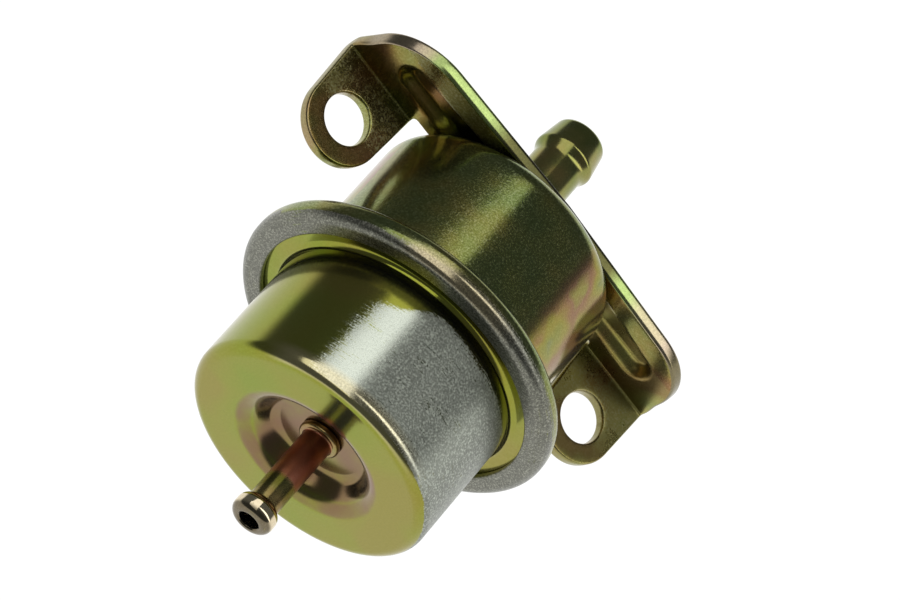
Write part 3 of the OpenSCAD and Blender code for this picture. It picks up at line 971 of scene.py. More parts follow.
@dataclass
class VacuumNipple:
    """Turned nipple with a collar on the dimple's floor and a hose bead at its tip."""

    cover: SpringCover
    node: str = "vacuum_nipple"
    bore: float = 3.0
    length: float = 16.0
    bead_d: float = 6.0
    bead_len: float = 3.0
    bead_r: float = 1.3
    collar_d: float = 6.0
    collar_t: float = 1.0
    stake_d: float = 6.0
    stake_t: float = 0.5
    chamfer: float = 0.18
    chamfer_r: float = 0.08
    # Corner radii as shares of the collar's thickness and of the bead's step, and the bead's rise.
    collar_soft: Corner = (0.3, 0.45, 0.25)
    bead_soft: float = 0.3
    bead_rise: float = 0.6
    # Runs of the film's change: station past the bead's start, and past the tip.
    blush_and_light_run: Span = (-2.4, -5.6)
    blush_gap: float = 0.05
    bright_run: Span = (0.2, 0.9)
    nose_run: Span = (-0.5, -1.0)
    longest: float = 0.4
    sides: int = 160

    def build(self) -> bpy.types.Object:
        """Turns the nipple's section, red-brown towards its foot: partly film tint, partly a painted
        reflection of the dimple.

        Returns:
            The nipple in copper-toned film.
        """
        cover, reg = self.cover, self.cover.regulator
        r, bore, bead = cover.nipple_d / 2.0, self.bore / 2.0, self.bead_d / 2.0
        stake, collar = self.stake_d / 2.0, self.collar_d / 2.0
        floor, step = cover.floor_s, bead - r
        ceiling, top, tip = floor - reg.cover_t, floor + self.collar_t, floor + self.length
        start = tip - self.bead_len
        foot_r, top_r, neck_r = (self.collar_t * share for share in self.collar_soft)
        corners = [
            (bore, ceiling - self.stake_t, 0.0),
            (stake, ceiling - self.stake_t, self.stake_t / 2.0),
            (stake, ceiling, 0.0),
            (r, ceiling, 0.0),
            (r, floor, 0.0),
            (collar, floor, foot_r),
            (collar, top, top_r),
            (r, top, neck_r),
            (r, start, step * self.bead_soft),
            (bead, start + step * self.bead_rise, self.bead_r),
            (bead, tip, bead - bore - 2.0 * self.chamfer),
            (bore + self.chamfer, tip, self.chamfer_r),
            (bore, tip - self.chamfer, self.chamfer_r),
        ]
        surface = reg.axis.turned(corners, self.longest, self.sides)
        _, station, _ = reg.about_axis(surface.points)
        surface.maps = {
            # Red-brown towards the foot: partly the film's tint, partly a painted reflection of the pink
            # dimple.
            Film.BLUSH: smoothstep(*self.blush_and_light_run, station - start) * (station > top + self.blush_gap),
            Film.BARE: smoothstep(*self.bright_run, station - start),
            Film.POLISH: smoothstep(*self.nose_run, station - tip),
        }
        return surface.to_object("vacuum_spigot", COPPER_FILM.material())


@dataclass
class HoseSpigot:
    """Fuel tube with a flared bead that holds a hose."""

    regulator: Regulator
    node: str
    spindle: Spindle
    foot: float
    tip: float
    bore: float = 5.5
    bead_d: float = 9.0
    bead_len: float = 5.8
    crest_run: float = 1.2
    nose_drop: float = 0.75
    blend_r: float = 2.2
    crest_r: float = 1.0
    chamfer: float = 0.2
    foot_r: float = 0.1
    nose_edges: Span = (0.05, 0.08)
    longest: float = 0.6
    sides: int = 160

    def build(self) -> bpy.types.Object:
        """Turns the tube's section: straight shank, concave blend, crest and tapered nose.

        Returns:
            The tube in dark olive film.
        """
        r, bore, bead = self.regulator.tube_d / 2.0, self.bore / 2.0, self.bead_d / 2.0
        start, nose = self.tip - self.bead_len, bead - self.nose_drop
        corners = [
            (bore, self.foot, self.foot_r),
            (r, self.foot, self.foot_r),
            (r, start, self.blend_r),
            (bead, start + self.crest_run, self.crest_r),
            (nose, self.tip, nose - bore - self.chamfer),
            (bore + self.chamfer, self.tip, self.nose_edges[0]),
            (bore, self.tip - self.chamfer, self.nose_edges[1]),
        ]
        surface = self.spindle.turned(corners, self.longest, self.sides)
        return surface.to_object(self.node.replace("tube", "spigot"), TUBE_FILM.material())


@dataclass
class MountingBracket:
    """Bracket folded from one sheet: two ears, an upright strip with pressed channels, and a round pad.

    The sheet is worked out flat, with x along the strip, q up the strip from the axis' height, and w into
    the sheet from its front. Below the fold line the ears' q runs round the fold and on along the ear.
    """

    regulator: Regulator
    node: str = "mounting_bracket"
    hole_spacing: float = 52.0
    hole_d: float = 7.0
    ear_w: float = 12.2
    ear_flare: float = 0.4
    ear_reach: float = 6.5
    sheet_t: float = 1.8
    fold_r: float = 0.3
    strip_h: float = 14.2
    strip_fall: float = 1.3
    strip_lean: float = 1.9
    strip_corner_r: float = 9.6
    strip_rise: float = 0.95
    relief_r: float = 0.4
    pad_r: float = 12.0
    channel_depth: float = 1.4
    channel_in: Corner = (10.0, 6.9, 3.0)
    channel_out: Corner = (24.5, 6.1, 2.25)
    channel_draft: float = 0.9
    channel_soft: float = 0.45
    channel_back: float = 0.81
    edge_r: float = 0.28
    edge_crown: float = 0.5
    edge_draft: float = 0.34
    edge_steps: int = 9
    # Share of the edges' own film on the ears and holes, and the heights over which it grows to one.
    ear_cut: float = 0.35
    cut_run: Span = (1.0, 4.0)
    # Tints along the strip's edge, partly the thin film's rainbow and partly painted highlight and painted
    # shade:
    # places from the middle outwards, and where each is among the edge tints.
    tint_and_light_left: Knots = (
        (0.0, 11.0, 13.5, 16.0, 26.0, 27.5, 29.0, 32.5),
        (0.05, 0.2, 0.28, 0.39, 0.54, 0.75, 0.85, 0.95),
    )
    tint_and_light_right: Knots = (
        (0.0, 9.5, 11.0, 12.8, 14.5, 17.0, 22.0, 24.0, 26.0),
        (0.05, 0.2, 0.28, 0.4, 0.54, 0.69, 0.76, 0.9, 1.0),
    )
    # Painted light on the right of the strip, below its border: a lighter, rougher olive film that brightens
    # the right wing.
    olive_from: Span = (4.0, 12.0)
    olive_to: Span = (10.0, 8.0)
    olive_share: float = 0.62
    # Duller, lighter zinc on the ears towards the fold, left and right, partly rubbing and partly painted
    # light, and on the border of the left wing, where it is painted light.
    dull_from: Span = (-4.0, 1.0)
    dull_ears: Span = (0.46, 0.57)
    dull_wing: Span = (-8.0, -14.0)
    wing_share: float = 0.6
    # Meshing: pitch of the points, its shares along the rims and clear of them, least sizes, and arcs' steps.
    pitch: float = 0.45
    rim_pitch: float = 0.8
    clear: float = 0.6
    sliver: float = 1e-4
    snap: float = 1e-6
    weld: float = 0.002
    probe: float = 0.02
    hair: float = 0.001
    corner_steps: int = 24
    pad_steps: int = 40
    hole_steps: int = 72

    @property
    def fold_run(self) -> float:
        """Length of the sheet's middle round the fold."""
        return 0.5 * math.pi * (self.fold_r + self.sheet_t / 2.0)

    @property
    def ear_q(self) -> float:
        """Flat height of the line where an ear starts."""
        return self.fold_r - self.fold_run

    def flat(self, y: float) -> float:
        """Gives the flat height of a place on an ear at the row's Y."""
        return self.ear_q - (self.regulator.rear_y - self.fold_r - y)

    def place(self, x: np.ndarray, q: np.ndarray, w: np.ndarray) -> np.ndarray:
        """Folds and presses flat places of the sheet into the row frame.

        On the strip, y is the rear plane plus w plus the channel's depth and z is q above the axis. On the
        fold, the point turns about the fold's centre by the angle (fold_r - q) over the middle radius. On an
        ear, z is w below the front face and y falls with q.

        Args:
            x: Places along the strip.
            q: Flat heights.
            w: Depths into the sheet.

        Returns:
            Points in the row frame, in millimetres.
        """
        reg = self.regulator
        centre_y, centre_z = reg.rear_y - self.fold_r, reg.axis_z + self.fold_r
        past_pad = 0.5 * (self.pad_r + (self.hole_spacing - self.ear_w) / 2.0)
        folded = (q < self.fold_r) & (np.abs(x) > past_pad)
        angle = np.clip((self.fold_r - q) / self.fold_run, 0.0, 1.0) * 0.5 * np.pi
        beyond = np.minimum(0.0, q - self.ear_q)
        radius = self.fold_r + w
        fold_y = centre_y + radius * np.cos(angle) + beyond
        fold_z = centre_z - radius * np.sin(angle)
        y = np.where(folded, fold_y, reg.rear_y + w + self.channel(x, q, w))
        return np.stack([x, y, np.where(folded, fold_z, reg.axis_z + q)], axis=-1)

    def channel(self, x: np.ndarray, q: np.ndarray, w: np.ndarray) -> np.ndarray:
        """Gives how far the pressed channels push the sheet back.

        The depth eases from zero outside a tapered slot to the full depth one draft inside it, and the slot
        is wider at the back of the sheet.

        Args:
            x: Places along the strip.
            q: Flat heights.
            w: Depths into the sheet.

        Returns:
            Depths in millimetres.
        """
        a, b = np.array(self.channel_in), np.array(self.channel_out)
        line = (b - a)[:2]
        px, pq = np.abs(x) - a[0], q - a[1]
        share = np.clip((px * line[0] + pq * line[1]) / (line @ line), 0.0, 1.0)
        distance = np.hypot(px - share * line[0], pq - share * line[1])
        inside = a[2] + share * (b[2] - a[2]) + self.channel_back * w / self.sheet_t - distance
        soft = self.channel_soft
        return self.channel_depth * smoothstep(-soft, self.channel_draft + soft, inside)

    def loops(self) -> list[np.ndarray]:
        """Draws the flat sheet's outline and its three holes.

        Returns:
            Evenly stepped closed loops, the outline first.
        """
        ear_x, half = self.hole_spacing / 2.0, self.ear_w / 2.0
        wide = half + self.ear_flare
        tip, sides = self.flat(-self.ear_reach), self.flat(half - self.ear_reach)
        round_end = half - self.hair
        meet = math.asin(self.strip_rise / self.pad_r)
        corners = [
            (0.0, self.strip_h, 0.0),
            (ear_x + wide - self.strip_lean, self.strip_h - self.strip_fall, self.strip_corner_r),
            (ear_x + wide, self.fold_r, 0.0),
            (ear_x + wide, self.ear_q, 0.0),
            (ear_x + half, sides, 0.0),
            (ear_x + half, tip, round_end),
            (ear_x - half, tip, round_end),
            (ear_x - half, sides, 0.0),
            (ear_x - wide, self.ear_q, 0.0),
            (ear_x - wide, self.strip_rise, self.relief_r),
            (self.pad_r * math.cos(meet), self.strip_rise, 0.0),
        ]
        arc = np.linspace(meet, -0.5 * np.pi, self.pad_steps)[1:]
        pad = self.pad_r * np.stack([np.cos(arc), np.sin(arc)], axis=1)
        right = np.concatenate([rounded(corners, False, self.corner_steps), pad])
        mirrored = right[1:-1][::-1] * np.array([-1.0, 1.0])
        turn = np.linspace(0.0, 2.0 * np.pi, self.hole_steps + 1)[:-1]
        circle = np.stack([np.cos(turn), np.sin(turn)], axis=1)
        holes = [circle * self.regulator.tube_hole_r]
        for side in (-1.0, 1.0):
            holes.append(circle * self.hole_d / 2.0 + np.array([side * ear_x, self.flat(0.0)]))
        return [self.even(loop) for loop in (np.concatenate([right, mirrored]), *holes)]

    def even(self, loop: np.ndarray) -> np.ndarray:
        """Steps evenly along a closed loop.

        Args:
            loop: Points of the loop.

        Returns:
            New points along it, about one rim pitch apart.
        """
        closed = np.vstack([loop, loop[:1]])
        run = np.concatenate([[0.0], np.cumsum(np.linalg.norm(np.diff(closed, axis=0), axis=1))])
        count = int(round(run[-1] / (self.rim_pitch * self.pitch)))
        at = np.arange(count) * run[-1] / count
        return np.stack([np.interp(at, run, closed[:, k]) for k in (0, 1)], axis=1)

    @staticmethod
    def inside(points: np.ndarray, loops: Sequence[np.ndarray]) -> np.ndarray:
        """Tells which points lie in the sheet, by counting the sides that a ray to the right crosses.

        Args:
            points: Flat places.
            loops: Outline and holes.

        Returns:
            One truth value per point.
        """
        crossings = np.zeros(len(points), int)
        for loop in loops:
            start, end = loop, np.roll(loop, -1, axis=0)
            drop = end - start
            slope = drop[:, 0] / np.where(drop[:, 1] == 0.0, 1.0, drop[:, 1])
            for part in np.array_split(np.arange(len(points)), CHUNKS):
                x, q = points[part, 0, None], points[part, 1, None]
                spans = (start[:, 1] > q) != (end[:, 1] > q)
                at = start[:, 0] + (q - start[:, 1]) * slope
                crossings[part] += np.sum(spans & (x < at), axis=1)
        return crossings % 2 == 1

    def outwards(self, loop: np.ndarray, loops: Sequence[np.ndarray]) -> np.ndarray:
        """Gives the directions that point out of the sheet along a loop.

        They are square to the loop's tangents, and one probe tells which of the two sides is meant.

        Args:
            loop: One closed loop.
            loops: Outline and holes.

        Returns:
            Unit directions, one per point.
        """
        tangent = np.roll(loop, -1, axis=0) - np.roll(loop, 1, axis=0)
        tangent = tangent / np.linalg.norm(tangent, axis=1)[:, None]
        normal = np.stack([tangent[:, 1], -tangent[:, 0]], axis=1)
        within = self.inside(loop[:1] + self.probe * normal[:1], loops)[0]
        return -normal if within else normal

    def flat_faces(self, rims: Sequence[np.ndarray]) -> tuple[np.ndarray, np.ndarray]:
        """Triangulates the flat sheet between its rims over an even grid of points.

        Args:
            rims: Loops that bound the flat face.

        Returns:
            Flat places, the rims' own first, and triangles.
        """
        edge = np.concatenate(rims)
        low, high = edge.min(axis=0), edge.max(axis=0)
        gx, gq = np.meshgrid(np.arange(low[0], high[0], self.pitch), np.arange(low[1], high[1], self.pitch))
        gx[1::2] += 0.5 * self.pitch
        grid = np.stack([gx.ravel(), gq.ravel()], axis=1)
        grid = grid[self.inside(grid, rims)]
        clear = [
            np.hypot(*(part[:, None] - edge).transpose(2, 0, 1)).min(axis=1) > self.clear * self.pitch
            for part in np.array_split(grid, CHUNKS)
        ]
        grid = grid[np.concatenate(clear)]
        starts = np.cumsum([0] + [len(rim) for rim in rims])
        sides = [
            np.stack([a + np.arange(len(rim)), a + np.roll(np.arange(len(rim)), -1)], axis=1)
            for a, rim in zip(starts, rims)
        ]
        flat = np.concatenate([edge, grid])
        result = delaunay_2d_cdt(flat.tolist(), np.concatenate(sides).tolist(), [], 0, self.snap)
        places, triangles = np.array(result[0]), np.array(result[2])
        corners = places[triangles]
        (ax, aq), (bx, bq) = (corners[:, 1] - corners[:, 0]).T, (corners[:, 2] - corners[:, 0]).T
        whole = np.abs(ax * bq - aq * bx) > self.sliver * self.pitch**2
        return places, triangles[whole & self.inside(corners.mean(axis=1), rims)]

    def build(self) -> bpy.types.Object:
        """Makes the two faces and the crowned sheared edges of the sheet, then folds and presses them.

        The edge's profile is a quarter ellipse, a short straight and a quarter ellipse, carried along each
        loop. Along the strip it leans back to the front by the draft that shearing leaves.

        Returns:
            The bracket in bronze film, with its sheared edges marked.
        """
        loops = self.loops()
        outs = [self.outwards(loop, loops) for loop in loops]
        on_strip = [smoothstep(*self.cut_run, loop[:, 1]) * (i == 0) for i, loop in enumerate(loops)]
        drafts = [self.edge_draft * share for share in on_strip]
        turn = np.linspace(0.0, 0.5 * np.pi, self.edge_steps)
        over = np.stack([self.edge_r * (np.sin(turn) - 1.0), self.edge_crown * (1.0 - np.cos(turn))], axis=1)
        under = over[::-1] * np.array([1.0, -1.0]) + np.array([0.0, self.sheet_t])
        profile = np.concatenate([over, under])
        rounding = np.ones((len(profile), 1))
        rounding[[0, -1]] = 0.0
        flat, faces, cut_and_highlight, count = [], [], [], 0
        for w in (0.0, self.sheet_t):
            backs = [self.edge_r + draft * (1.0 - w / self.sheet_t) for draft in drafts]
            rims = [loop - back[:, None] * out for loop, out, back in zip(loops, outs, backs)]
            places, triangles = self.flat_faces(rims)
            flat.append(np.column_stack([places, np.full(len(places), w)]))
            faces.append((triangles if w == 0.0 else triangles[:, ::-1]) + count)
            cut_and_highlight.append(np.zeros(len(places)))
            count += len(places)
        for loop, out, draft, strip in zip(loops, outs, drafts, on_strip):
            reach = profile[:, :1] - draft * (1.0 - profile[:, 1:] / self.sheet_t)
            rows = loop[None] + reach[:, :, None] * out[None]
            depth = np.broadcast_to(profile[:, None, 1:], (*reach.shape, 1))
            flat.append(np.concatenate([rows, depth], axis=2).reshape(-1, 3))
            numbers = count + np.arange(reach.size).reshape(reach.shape)
            wall = quads(np.column_stack([numbers, numbers[:, 0]]).T)
            faces += [wall[:, [0, 1, 2]], wall[:, [0, 2, 3]]]
            cut_and_highlight.append((rounding * (self.ear_cut + (1.0 - self.ear_cut) * strip)).ravel())
            count += reach.size
        sheet = np.concatenate(flat)
        points = self.place(*sheet.T)
        maps = {Film.CUT: np.concatenate(cut_and_highlight), **self.film(*sheet.T[:2], points[:, 1])}
        surface = Surface(points, np.concatenate(faces), maps)
        return self.welded(surface.to_object("folded_bracket", BRONZE_FILM.material()))

    def film(self, x: np.ndarray, q: np.ndarray, y: np.ndarray) -> dict[Film, np.ndarray]:
        """Maps the edge's tints, the painted light on the right wing, and the duller places.

        The edge's tints stay dark in the middle, and turn lime, cream and tan sooner on the right: partly the
        thin film's rainbow, partly painted shade and painted highlight along the edge. The duller places are
        lighter zinc, partly rubbing and partly painted light.

        Args:
            x: Places along the strip.
            q: Flat heights.
            y: Places along the row's Y after folding.

        Returns:
            Per-point shares of each kind of film.
        """
        left, right = np.interp(-x, *self.tint_and_light_left), np.interp(x, *self.tint_and_light_right)
        on_ear = (q < 0.0) & (np.abs(x) > self.pad_r)
        # Lighter, rougher zinc: partly rubbing on the ears, and painted light on the left wing's border,
        # brightening a place whose reflection is dark.
        ears = np.where(x < 0.0, *self.dull_ears) * on_ear * smoothstep(*self.dull_from, y)
        wing = smoothstep(*self.dull_wing, x) * smoothstep(*self.olive_to[::-1], q)
        # Painted light: a lighter, rougher film on the right wing's strip, brightening it as if lit from the
        # right.
        olive = smoothstep(*self.olive_from, x) * smoothstep(*self.olive_to, q)
        return {
            Film.RAINBOW: np.where(x < 0.0, left, right),
            Film.BLUSH: self.olive_share * olive,
            Film.BARE: ears + self.wing_share * wing,
        }

    def welded(self, piece: bpy.types.Object) -> bpy.types.Object:
        """Joins the faces to the rounded edges where they meet, and turns all faces outwards.

        Args:
            piece: The bracket.

        Returns:
            The same object.
        """
        work = bmesh.new()
        work.from_mesh(piece.data)
        bmesh.ops.remove_doubles(work, verts=work.verts, dist=self.weld * MM)
        bmesh.ops.recalc_face_normals(work, faces=work.faces)
        work.to_mesh(piece.data)
        work.free()
        return piece


@dataclass
class CalibratedSpring:
    """Main spring: wire coiled with closed and ground ends."""

    regulator: Regulator
    node: str = "main_spring"
    wire: float = 2.2
    diameter: float = 18.0
    turns: float = 4.5
    plate_s: float = 24.6
    seat_s: float = 38.9
    ground: float = 0.2
    closing: float = 1.04
    play: float = 0.01
    lift: float = 0.8
    steps: int = 72
    sides: int = 20

    def rise(self, turn: np.ndarray) -> np.ndarray:
        """Gives how far the wire's middle has risen from its first end after some turns.

        Over the first turn t the wire rises by half of t^2 + t closed pitches, over the last turn it does the
        same seen from the other end, and between them it rises evenly.

        Args:
            turn: Turns from the first end.

        Returns:
            Heights in millimetres.
        """
        pitch = self.wire * self.closing
        height = self.seat_s - self.plate_s - self.wire * (1.0 - 2.0 * self.ground)
        even = pitch + (height - 2.0 * pitch) * (turn - 1.0) / (self.turns - 2.0)
        left = self.turns - turn
        first, last = (pitch * 0.5 * (t * t + t) for t in (turn, left))
        return np.where(turn < 1.0, first, np.where(left < 1.0, height - last, even))

    def build(self) -> bpy.types.Object:
        """Carries the wire's circle along the helix, cuts both ends flat, and closes the wire's ends.

        Returns:
            The spring in drawn wire.
        """
        rings = int(self.turns * self.steps)
        turn = np.linspace(0.0, self.turns, rings + 1)[:, None]
        round_wire = 2.0 * np.pi * np.arange(self.sides) / self.sides
        radius = self.diameter / 2.0 + self.wire / 2.0 * np.cos(round_wire)
        station = self.plate_s + self.wire * (0.5 - self.ground) + self.rise(turn)
        station = station + self.wire / 2.0 * np.sin(round_wire)
        station = np.clip(station, self.plate_s + self.play, self.seat_s - self.play)
        angle = 2.0 * np.pi * turn
        reg = self.regulator
        places = [radius * np.cos(angle), reg.rear_y - station, reg.axis_z + radius * np.sin(angle)]
        numbers = np.arange(station.size).reshape(station.shape)
        wall = quads(np.column_stack([numbers, numbers[:, 0]]))
        up = np.arange(self.sides // 2 - 1)
        down = self.sides - 1 - up
        cap = np.stack([up, up + 1, down - 1, down], axis=1)
        faces = np.concatenate([wall, cap, cap[:, ::-1] + rings * self.sides])
        surface = Surface(np.stack(places, axis=-1).reshape(-1, 3), faces)
        return surface.to_object("calibrated_spring", SPRING_WIRE.material())

    def flex(self, piece: bpy.types.Object) -> None:
        """Gives the spring a mesh of its own; the valve's lift is not applied.

        Args:
            piece: The spring.
        """
        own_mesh(piece)


@dataclass
class Membrane:
    """Diaphragm with one roll, its rim clamped in the crimp and its middle between the valve's plates.

    It is cut into equal sectors.
    """

    regulator: Regulator
    node: str = "diaphragm"
    hole_r: float = 4.65
    roll_at: float = 14.3
    roll_r: float = 1.75
    foot_r: float = 0.45
    play: float = 0.01
    plates_r: float = 11.8
    wall_r: float = 16.3
    sectors: int = 12
    steps: int = 12

    def sector(self, middle: float) -> Surface:
        """Turns a strip of even thickness, with one round roll, through a sector of the circle.

        The strip's two faces run parallel to its middle line, half a thickness to either side.

        Args:
            middle: Angle of the sector's middle line.

        Returns:
            The closed sector.
        """
        reg = self.regulator
        level = reg.flange_s - reg.diaphragm_t / 2.0
        half = reg.diaphragm_t / 2.0 - self.play
        inner, outer = self.roll_at - self.roll_r, self.roll_at + self.roll_r
        top, crown = level + self.roll_r, self.roll_r - self.foot_r
        corners = [
            (self.hole_r, level, 0.0),
            (inner, level, self.foot_r),
            (inner, top, crown),
            (outer, top, crown),
            (outer, level, self.foot_r),
            (reg.clamp_r, level, 0.0),
        ]
        lines = np.stack([rounded(parallel(corners, side * half), closed=False) for side in (1.0, -1.0)])
        angles = middle + np.pi / self.sectors * np.linspace(-1.0, 1.0, self.steps + 1)
        ring = np.stack([np.cos(angles), np.zeros(len(angles)), np.sin(angles)], axis=1)
        points = lines[:, None, :, :1] * ring[None, :, None]
        points = points + lines[:, None, :, 1:] * np.array(reg.axis.direction.value)
        points = points + np.array(reg.axis.origin)
        block = np.arange(points.size // 3).reshape(points.shape[:3])
        shells = (block[0].T, block[-1], block[:, 0], block[:, -1].T, block[:, :, 0].T, block[:, :, -1])
        return Surface(points.reshape(-1, 3), np.concatenate([quads(shell) for shell in shells]))

    def build(self) -> None:
        """Makes each sector and puts it in the CAD node's stead."""
        reg = self.regulator
        rubber = NITRILE.material()
        for number in range(self.sectors):
            middle = 2.0 * np.pi * number / self.sectors
            piece = self.sector(middle).to_object(f"membrane_sector_{number + 1:02d}", rubber)
            way = np.array([math.cos(middle), 0.0, math.sin(middle)])
            level = np.array([0.0, reg.rear_y - reg.flange_s, reg.axis_z])
            start, end = (((level + radius * way) * MM).tolist() for radius in (self.wall_r, self.plates_r))
            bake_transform(piece)
            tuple(start)
            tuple(end)
            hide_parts(self.node)
            LOG.info("%s stands for a part of %s", piece.name, self.node)


@dataclass
class InnerWorks:
    """The rigid pieces inside the shells, which keep their CAD form and get their finishes here."""

    finishes: Mapping[str, PlainFinish] = field(
        default_factory=lambda: {
            "valve_seat": BRASS,
            "support_plate": STEEL,
            "spring_plate": STEEL,
            "spring_seat": STEEL,
            "valve_carrier": STEEL,
            "ball_retainer": STEEL,
            "valve_ball": GROUND_STEEL,
            "ball_spring": SPRING_WIRE,
        }
    )

    def dress(self, nodes: Mapping[str, bpy.types.Object]) -> None:
        """Puts each finish on its CAD nodes.

        Args:
            nodes: CAD objects by name.
        """
        made = {finish: finish.material() for finish in dict.fromkeys(self.finishes.values())}
        for name, finish in self.finishes.items():
            mesh = nodes[name].data
            mesh.materials.clear()
            mesh.materials.append(made[finish])
            LOG.info("%s dressed in %s", name, finish.name)


@dataclass(frozen=True)
class Softbox:
    """A lit oval of the sky: its middle, the way its width runs, its half sizes as slopes, edge and power."""

    way: Vector
    across: Vector
    size: Span
    soft: float
    power: float
    grazing: float = 0.001

    def add(self, tree: bpy.types.NodeTree, ray: bpy.types.NodeSocket) -> bpy.types.Node:
        """Adds the oval's brightness for a ray.

        The ray's slopes across and along the oval, each over its half size, make a reach of one at the
        oval's edge, and the power eases to nothing over the soft edge.

        Args:
            tree: Node tree of the sky.
            ray: Direction of the ray.

        Returns:
            The node that gives the brightness.
        """
        add = partial(add_node, tree)
        middle = np.array(self.way) / np.linalg.norm(self.way)
        across = np.array(self.across) - (np.array(self.across) @ middle) * middle
        across = across / np.linalg.norm(across)
        rows = (middle, across / self.size[0], np.cross(middle, across) / self.size[1])
        facing, u, v = (add(*DOT, (ray, row.tolist())) for row in rows)
        ahead = add("ShaderNodeMath", {"operation": "MAXIMUM"}, (facing, self.grazing))
        slopes = add("ShaderNodeCombineXYZ", inputs=(u, v))
        length = add("ShaderNodeVectorMath", {"operation": "LENGTH"}, [slopes])
        reach = add("ShaderNodeMath", {"operation": "DIVIDE"}, (length, ahead))
        return add(*EASED, (reach, 1.0 - self.soft, 1.0 + self.soft, self.power, 0.0))


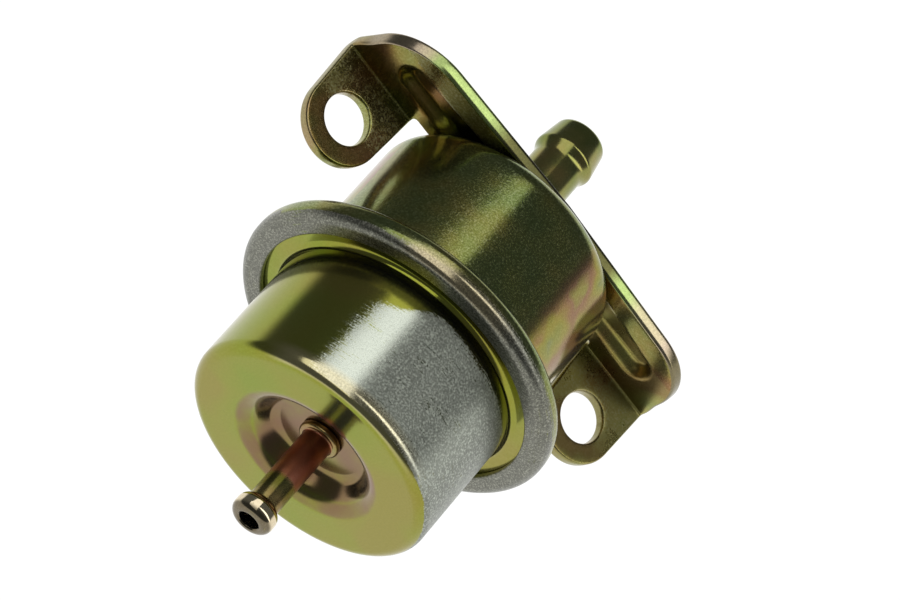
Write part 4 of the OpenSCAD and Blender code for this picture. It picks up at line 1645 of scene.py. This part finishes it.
@dataclass
class Studio:
    """White table, soft light and the camera at the photograph's viewing angle.

    Lengths are in metres, but the lens and its sensor are in millimetres.
    """

    camera_at: Vector = (-0.148605, -0.281060, 0.420556)
    right: Vector = (0.594057, 0.557630, 0.579780)
    forward: Vector = (0.285761, 0.527443, -0.800091)
    lens: float = 160.0
    sensor: float = 36.0
    clip: Span = (0.01, 20.0)
    white: str = "#ffffff"
    table_size: float = 6.0
    table_gap: float = 0.0002
    table_power: float = 1.05
    room: Vector = (0.1, 0.105, 0.1)
    sweep_way: Vector = (0.462, 0.0, -0.887)
    sweep_edge: Span = (-0.09, 0.14)
    overhead: Softbox = Softbox((0.4, 0.18, 0.95), (1.0, 0.0, 0.0), (0.95, 0.17), 0.22, 2.3)
    panel_x: Span = (-0.46, -0.078)
    panel_y: Span = (-0.25, 0.141)
    panel_z: float = 0.177
    panel_power: float = 1.4

    def camera(self) -> None:
        """Stands the camera where the photograph was taken from."""
        right, ahead = np.array(self.right), np.array(self.forward)
        ahead = ahead / np.linalg.norm(ahead)
        right = right - (right @ ahead) * ahead
        right = right / np.linalg.norm(right)
        up = np.cross(right, ahead)
        data = bpy.data.cameras.new("photo_camera")
        data.lens, data.sensor_width, data.sensor_fit = self.lens, self.sensor, "HORIZONTAL"
        data.clip_start, data.clip_end = self.clip
        camera = bpy.data.objects.new("photo_camera", data)
        turn = np.eye(4)
        turn[:3, :3] = np.stack([right, up, -ahead], axis=1)
        turn[:3, 3] = self.camera_at
        camera.matrix_world = Matrix(turn.tolist())
        bpy.context.scene.collection.objects.link(camera)
        bpy.context.scene.camera = camera

    def sheet(self, name: str, finish: str, x: Span, y: Span, z: float, power: float) -> bpy.types.Object:
        """Adds a level rectangle that glows white.

        Args:
            name: Name of the object.
            finish: Name of its material.
            x: Its ends along X.
            y: Its ends along Y.
            z: Its height.
            power: Its brightness.

        Returns:
            The rectangle, as part of the stage.
        """
        mesh = bpy.data.meshes.new(name)
        corners = [(x[0], y[0], z), (x[1], y[0], z), (x[1], y[1], z), (x[0], y[1], z)]
        mesh.from_pydata(corners, [], [(0, 1, 2, 3)])
        material, tree = new_material(finish)
        shine = add_node(tree, "ShaderNodeEmission", inputs=(linear(self.white), power))
        add_node(tree, "ShaderNodeOutputMaterial", inputs=[shine])
        mesh.materials.append(material)
        piece = bpy.data.objects.new(name, mesh)
        bpy.context.scene.collection.objects.link(piece)
        piece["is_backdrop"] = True
        return piece

    def furnish(self, low: float) -> None:
        """Lays a plain white table under the part, and hangs a softbox over its left side.

        Args:
            low: Height of the part's lowest point.
        """
        span = (-self.table_size / 2.0, self.table_size / 2.0)
        top = low - self.table_gap
        table = self.sheet("table", "table_white_laminate", span, span, top, self.table_power)
        table.visible_glossy = table.visible_diffuse = table.visible_shadow = False
        place = (self.panel_x, self.panel_y, self.panel_z)
        panel = self.sheet("softbox", "softbox_white_cloth", *place, self.panel_power)
        panel.visible_camera = panel.visible_shadow = False

    def light(self) -> None:
        """Surrounds the part with a white sweep below and to the right, and a softbox above.

        The sweep is a half of the sky: the dot product of the ray with its way, eased over its edge.
        """
        world = bpy.data.worlds.new("studio")
        world.use_nodes = True
        bpy.context.scene.world = world
        tree = world.node_tree
        tree.nodes.clear()
        add = partial(add_node, tree)
        ray = add("ShaderNodeTexCoord").outputs["Generated"]
        sweep = add(*EASED, (add(*DOT, (ray, self.sweep_way)), *self.sweep_edge))
        total = add("ShaderNodeMath", {"operation": "ADD"}, (self.overhead.add(tree, ray), sweep))
        seen = add("ShaderNodeLightPath").outputs["Is Camera Ray"]
        lamps = add("ShaderNodeVectorMath", {"operation": "ADD"}, (self.room, total))
        shown = add(*MIX_COLOUR, (seen, lamps, linear(self.white)))
        sky = add("ShaderNodeBackground", inputs=(shown, 1.0))
        add("ShaderNodeOutputWorld", inputs=[sky])
        bpy.context.scene.view_settings.view_transform = "Standard"


def dress(piece: bpy.types.Object, node: str, slot: Slot) -> None:
    """Puts a new piece in its CAD node's stead.

    Args:
        piece: The new piece.
        node: CAD node that it stands for.
        slot: Not used.
    """
    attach(piece, "housing")
    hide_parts(node)
    places = np.empty(3 * len(piece.data.vertices), np.float32)
    piece.data.vertices.foreach_get("co", places)
    places = places.reshape(-1, 3)
    box = np.array([places.min(axis=0), places.max(axis=0)])
    off = np.abs(box - np.array([list(corner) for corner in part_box(node)])).max() / MM
    triangles = sum(len(polygon.vertices) - 2 for polygon in piece.data.polygons)
    LOG.info("%s stands for %s: %d triangles, boxes within %.3f mm", piece.name, node, triangles, off)


def main() -> None:
    """Builds the part round its frame, then the studio."""
    logging.basicConfig(level=logging.INFO, format="%(name)s: %(message)s")
    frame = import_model()
    cad_box = [list(map(float, corner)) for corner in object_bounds()]
    regulator = Regulator()
    cover = SpringCover(regulator)
    for part, slot in (
        (FuelHousing(regulator), Slot.OLIVE),
        (cover, Slot.GOLD),
        (VacuumNipple(cover), Slot.GOLD),
        (HoseSpigot(regulator, "return_tube", regulator.return_axis, *regulator.return_ends), Slot.GOLD),
        (HoseSpigot(regulator, "inlet_tube", regulator.inlet_axis, *regulator.inlet_ends), Slot.GOLD),
        (MountingBracket(regulator), Slot.BRONZE),
    ):
        dress(part.build(), part.node, slot)
    spring = CalibratedSpring(regulator)
    coil = spring.build()
    dress(coil, spring.node, Slot.WIRE)
    spring.flex(coil)
    Membrane(regulator).build()
    InnerWorks().dress(frame["nodes"])
    studio = Studio()
    studio.camera()
    studio.furnish(cad_box[0][2])
    studio.light()


if __name__ == "__main__":
    main()
